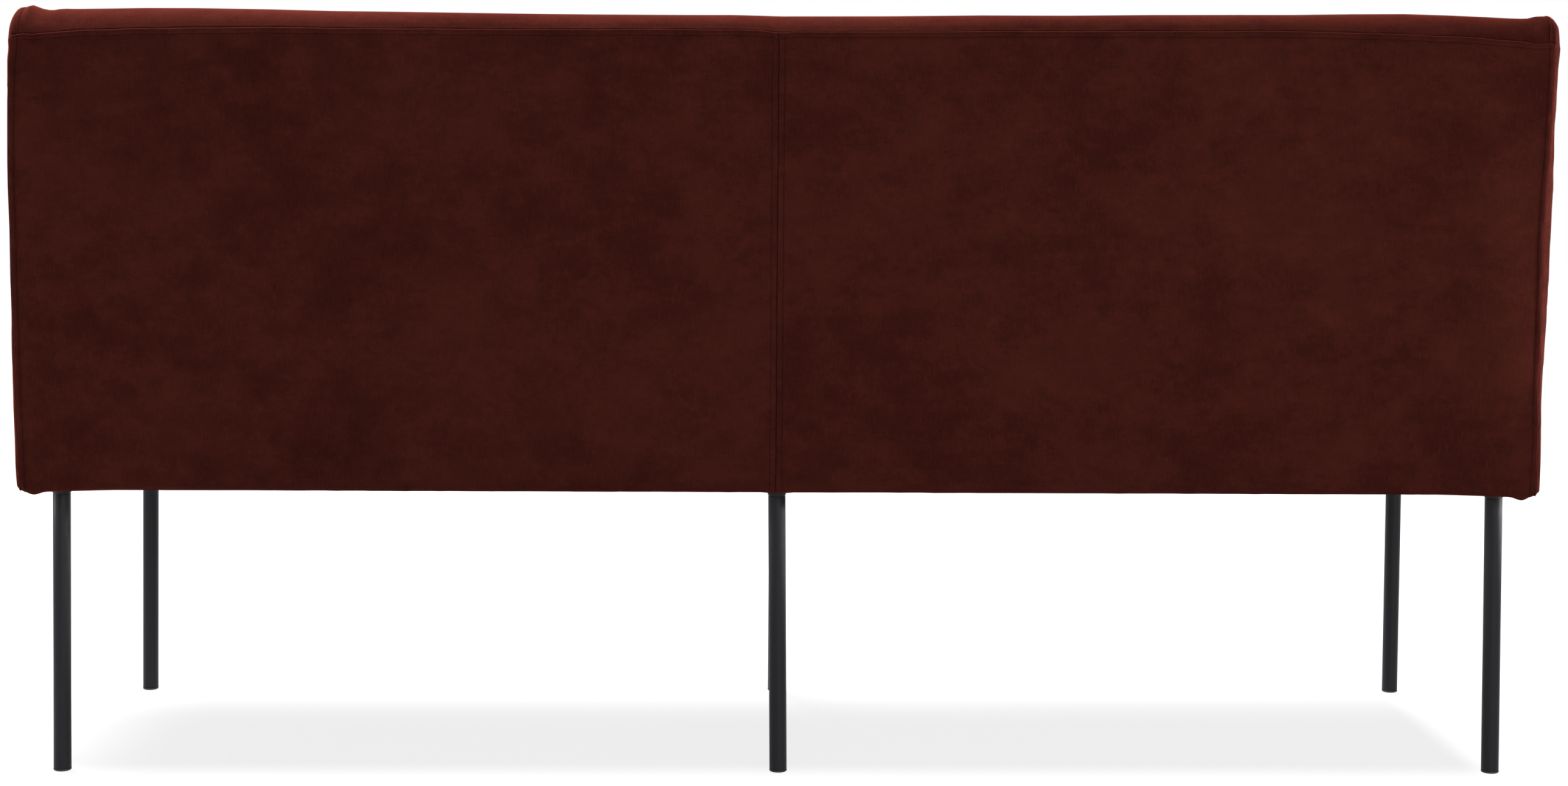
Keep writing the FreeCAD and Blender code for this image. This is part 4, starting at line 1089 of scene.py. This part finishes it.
# floor, lights, background and camera
studio = {"floor": 24.0, "floorTone": (0.12, 0.12, 0.12, 1), "bounce": (0.80, 0.80, 0.80, 1), "floorLight": 0.22,
          # painted shadow: the floor's glow for camera rays is dimmer over this rectangle under the bench, and rises
          # past its edge
          "paintedShadowGlow": 0.80, "glowFar": 1.0, "shadowMiddle": (0.015, -0.018), "shadowHalf": (0.835, 0.180), "fade": 0.105,
          "fadeAcross": 2.0, "ambient": 0.40, "white": (1, 1, 1, 1)}


def emptyTree(owner):
    owner.use_nodes = True
    owner.node_tree.nodes.clear()
    return owner.node_tree


def showByRay(tree, unseen, seen, kind):  # one shader for what is seen, one for the light that comes from it
    rays = tree.nodes.new("ShaderNodeLightPath").outputs
    direct = mathOf("MAXIMUM", rays["Is Camera Ray"], rays["Is Glossy Ray"])
    direct = mathOf("MAXIMUM", direct, rays["Is Transmission Ray"])
    choice = addNode(tree, "ShaderNodeMixShader", {0: direct, 1: unseen.outputs[0], 2: seen.outputs[0]})
    addNode(tree, kind, {"Surface": choice.outputs[0]})


floorMesh = bpy.data.meshes.new("floor")
half = studio["floor"] / 2
floorMesh.from_pydata([(-half, -half, 0), (half, -half, 0), (half, half, 0), (-half, half, 0)], [], [(0, 1, 2, 3)])
floor = placed("floor", floorMesh)
paper = bpy.data.materials.new("pale floor")
tree = emptyTree(paper)
# painted shadow under the bench: the camera-ray glow drops over the rectangle, and the matt part still takes the
# bench's real, weak shadow
across, middle, reach = studio["fadeAcross"], studio["shadowMiddle"], studio["shadowHalf"]
spot = tree.nodes.new("ShaderNodeTexCoord").outputs["Object"]
for kind, inputs in (("SUBTRACT", {1: (*middle, 0)}), ("ABSOLUTE", {}),
                     ("MULTIPLY_ADD", {1: (across, 1, 1), 2: (-across * reach[0], -reach[1], 0)}),
                     ("MAXIMUM", {1: (0, 0, 0)})):
    spot = addNode(tree, "ShaderNodeVectorMath", {0: spot, **inputs}, operation=kind).outputs[0]
past = addNode(tree, "ShaderNodeVectorMath", {0: spot}, operation="LENGTH").outputs["Value"]
paintedShadowGlow = addNode(tree, "ShaderNodeEmission", {
    "Strength": rangeOf(past, 0.0, studio["fade"], studio["paintedShadowGlow"], studio["glowFar"])}).outputs[0]
lit = addNode(tree, "ShaderNodeEmission", {"Strength": studio["floorLight"]}).outputs[0]
matt, plain = (addNode(tree, "ShaderNodeBsdfDiffuse", {"Color": studio[shade]}).outputs[0]
               for shade in ("floorTone", "bounce"))
shown, unseen = (addNode(tree, "ShaderNodeAddShader", {0: first, 1: second})
                 for first, second in ((matt, paintedShadowGlow), (plain, lit)))
showByRay(tree, unseen, shown, "ShaderNodeOutputMaterial")
floorMesh.materials.append(paper)

world = bpy.data.worlds.new("studio")
scene.world = world
tree = emptyTree(world)
dim, white = (addNode(tree, "ShaderNodeBackground", {"Strength": strength, "Color": studio["white"]})
              for strength in (studio["ambient"], 1.0))
showByRay(tree, dim, white, "ShaderNodeOutputWorld")


def softLamp(name, place, aim, size, power):
    light = bpy.data.lights.new(name, "AREA")
    light.shape, light.size, light.size_y, light.energy = "RECTANGLE", size[0], size[1], power
    lamp = placed(name, light)
    lamp.location = place
    lamp.rotation_euler = (Vector(aim) - Vector(place)).to_track_quat("-Z", "Y").to_euler()
    return lamp


softLamp("overhead", (0.85, -0.85, 2.5), (0, 0, 0), (1.8, 1.1), 302.0)
softLamp("behind", (-1.8, 4.2, 1.3), (0, 0, 0.6), (3.0, 2.0), 76.0)
softLamp("before", (-0.9, -4.2, 2.2), (0, 0, 0.6), (3.0, 2.0), 60.0)
for sideOfBench, power in ((-1, 4.4), (1, 1.6)):  # two gridded lamps that light only the side panels
    edgeLamp = softLamp("beside", (3.0 * sideOfBench, 0.26, 0.65), (0.9 * sideOfBench, 0.26, 0.65), (0.4, 0.54), power)
    edgeLamp.data.spread = math.radians(11)

view = {"place": (0.051198, 3.204723, 0.732907), "yaw": -0.0181, "pitch": -0.052474, "roll": 0.006055,
        "focalPixels": 4173.757, "width": 2576, "height": 1292, "middleRow": 476.263, "sensor": 36.0}
ahead = Vector((math.sin(view["yaw"]), -math.cos(view["yaw"]), 0))
across = Vector((-math.cos(view["yaw"]), -math.sin(view["yaw"]), 0))
up = Vector((0, 0, 1))
ahead, up = (ahead * math.cos(view["pitch"]) + up * math.sin(view["pitch"]),
             up * math.cos(view["pitch"]) - ahead * math.sin(view["pitch"]))
across, up = (across * math.cos(view["roll"]) + up * math.sin(view["roll"]),
              up * math.cos(view["roll"]) - across * math.sin(view["roll"]))
lens = bpy.data.cameras.new("camera")
lens.sensor_width = view["sensor"]
lens.lens = view["focalPixels"] / view["width"] * view["sensor"]
lens.shift_y = (view["middleRow"] - view["height"] / 2) / view["width"]
camera = placed("camera", lens)
camera.matrix_world = Matrix((across, up, -ahead)).transposed().to_4x4()
camera.location = view["place"]
scene.camera = camera
scene.view_settings.view_transform = "Standard"

bpy.context.view_layer.update()
print("ready")
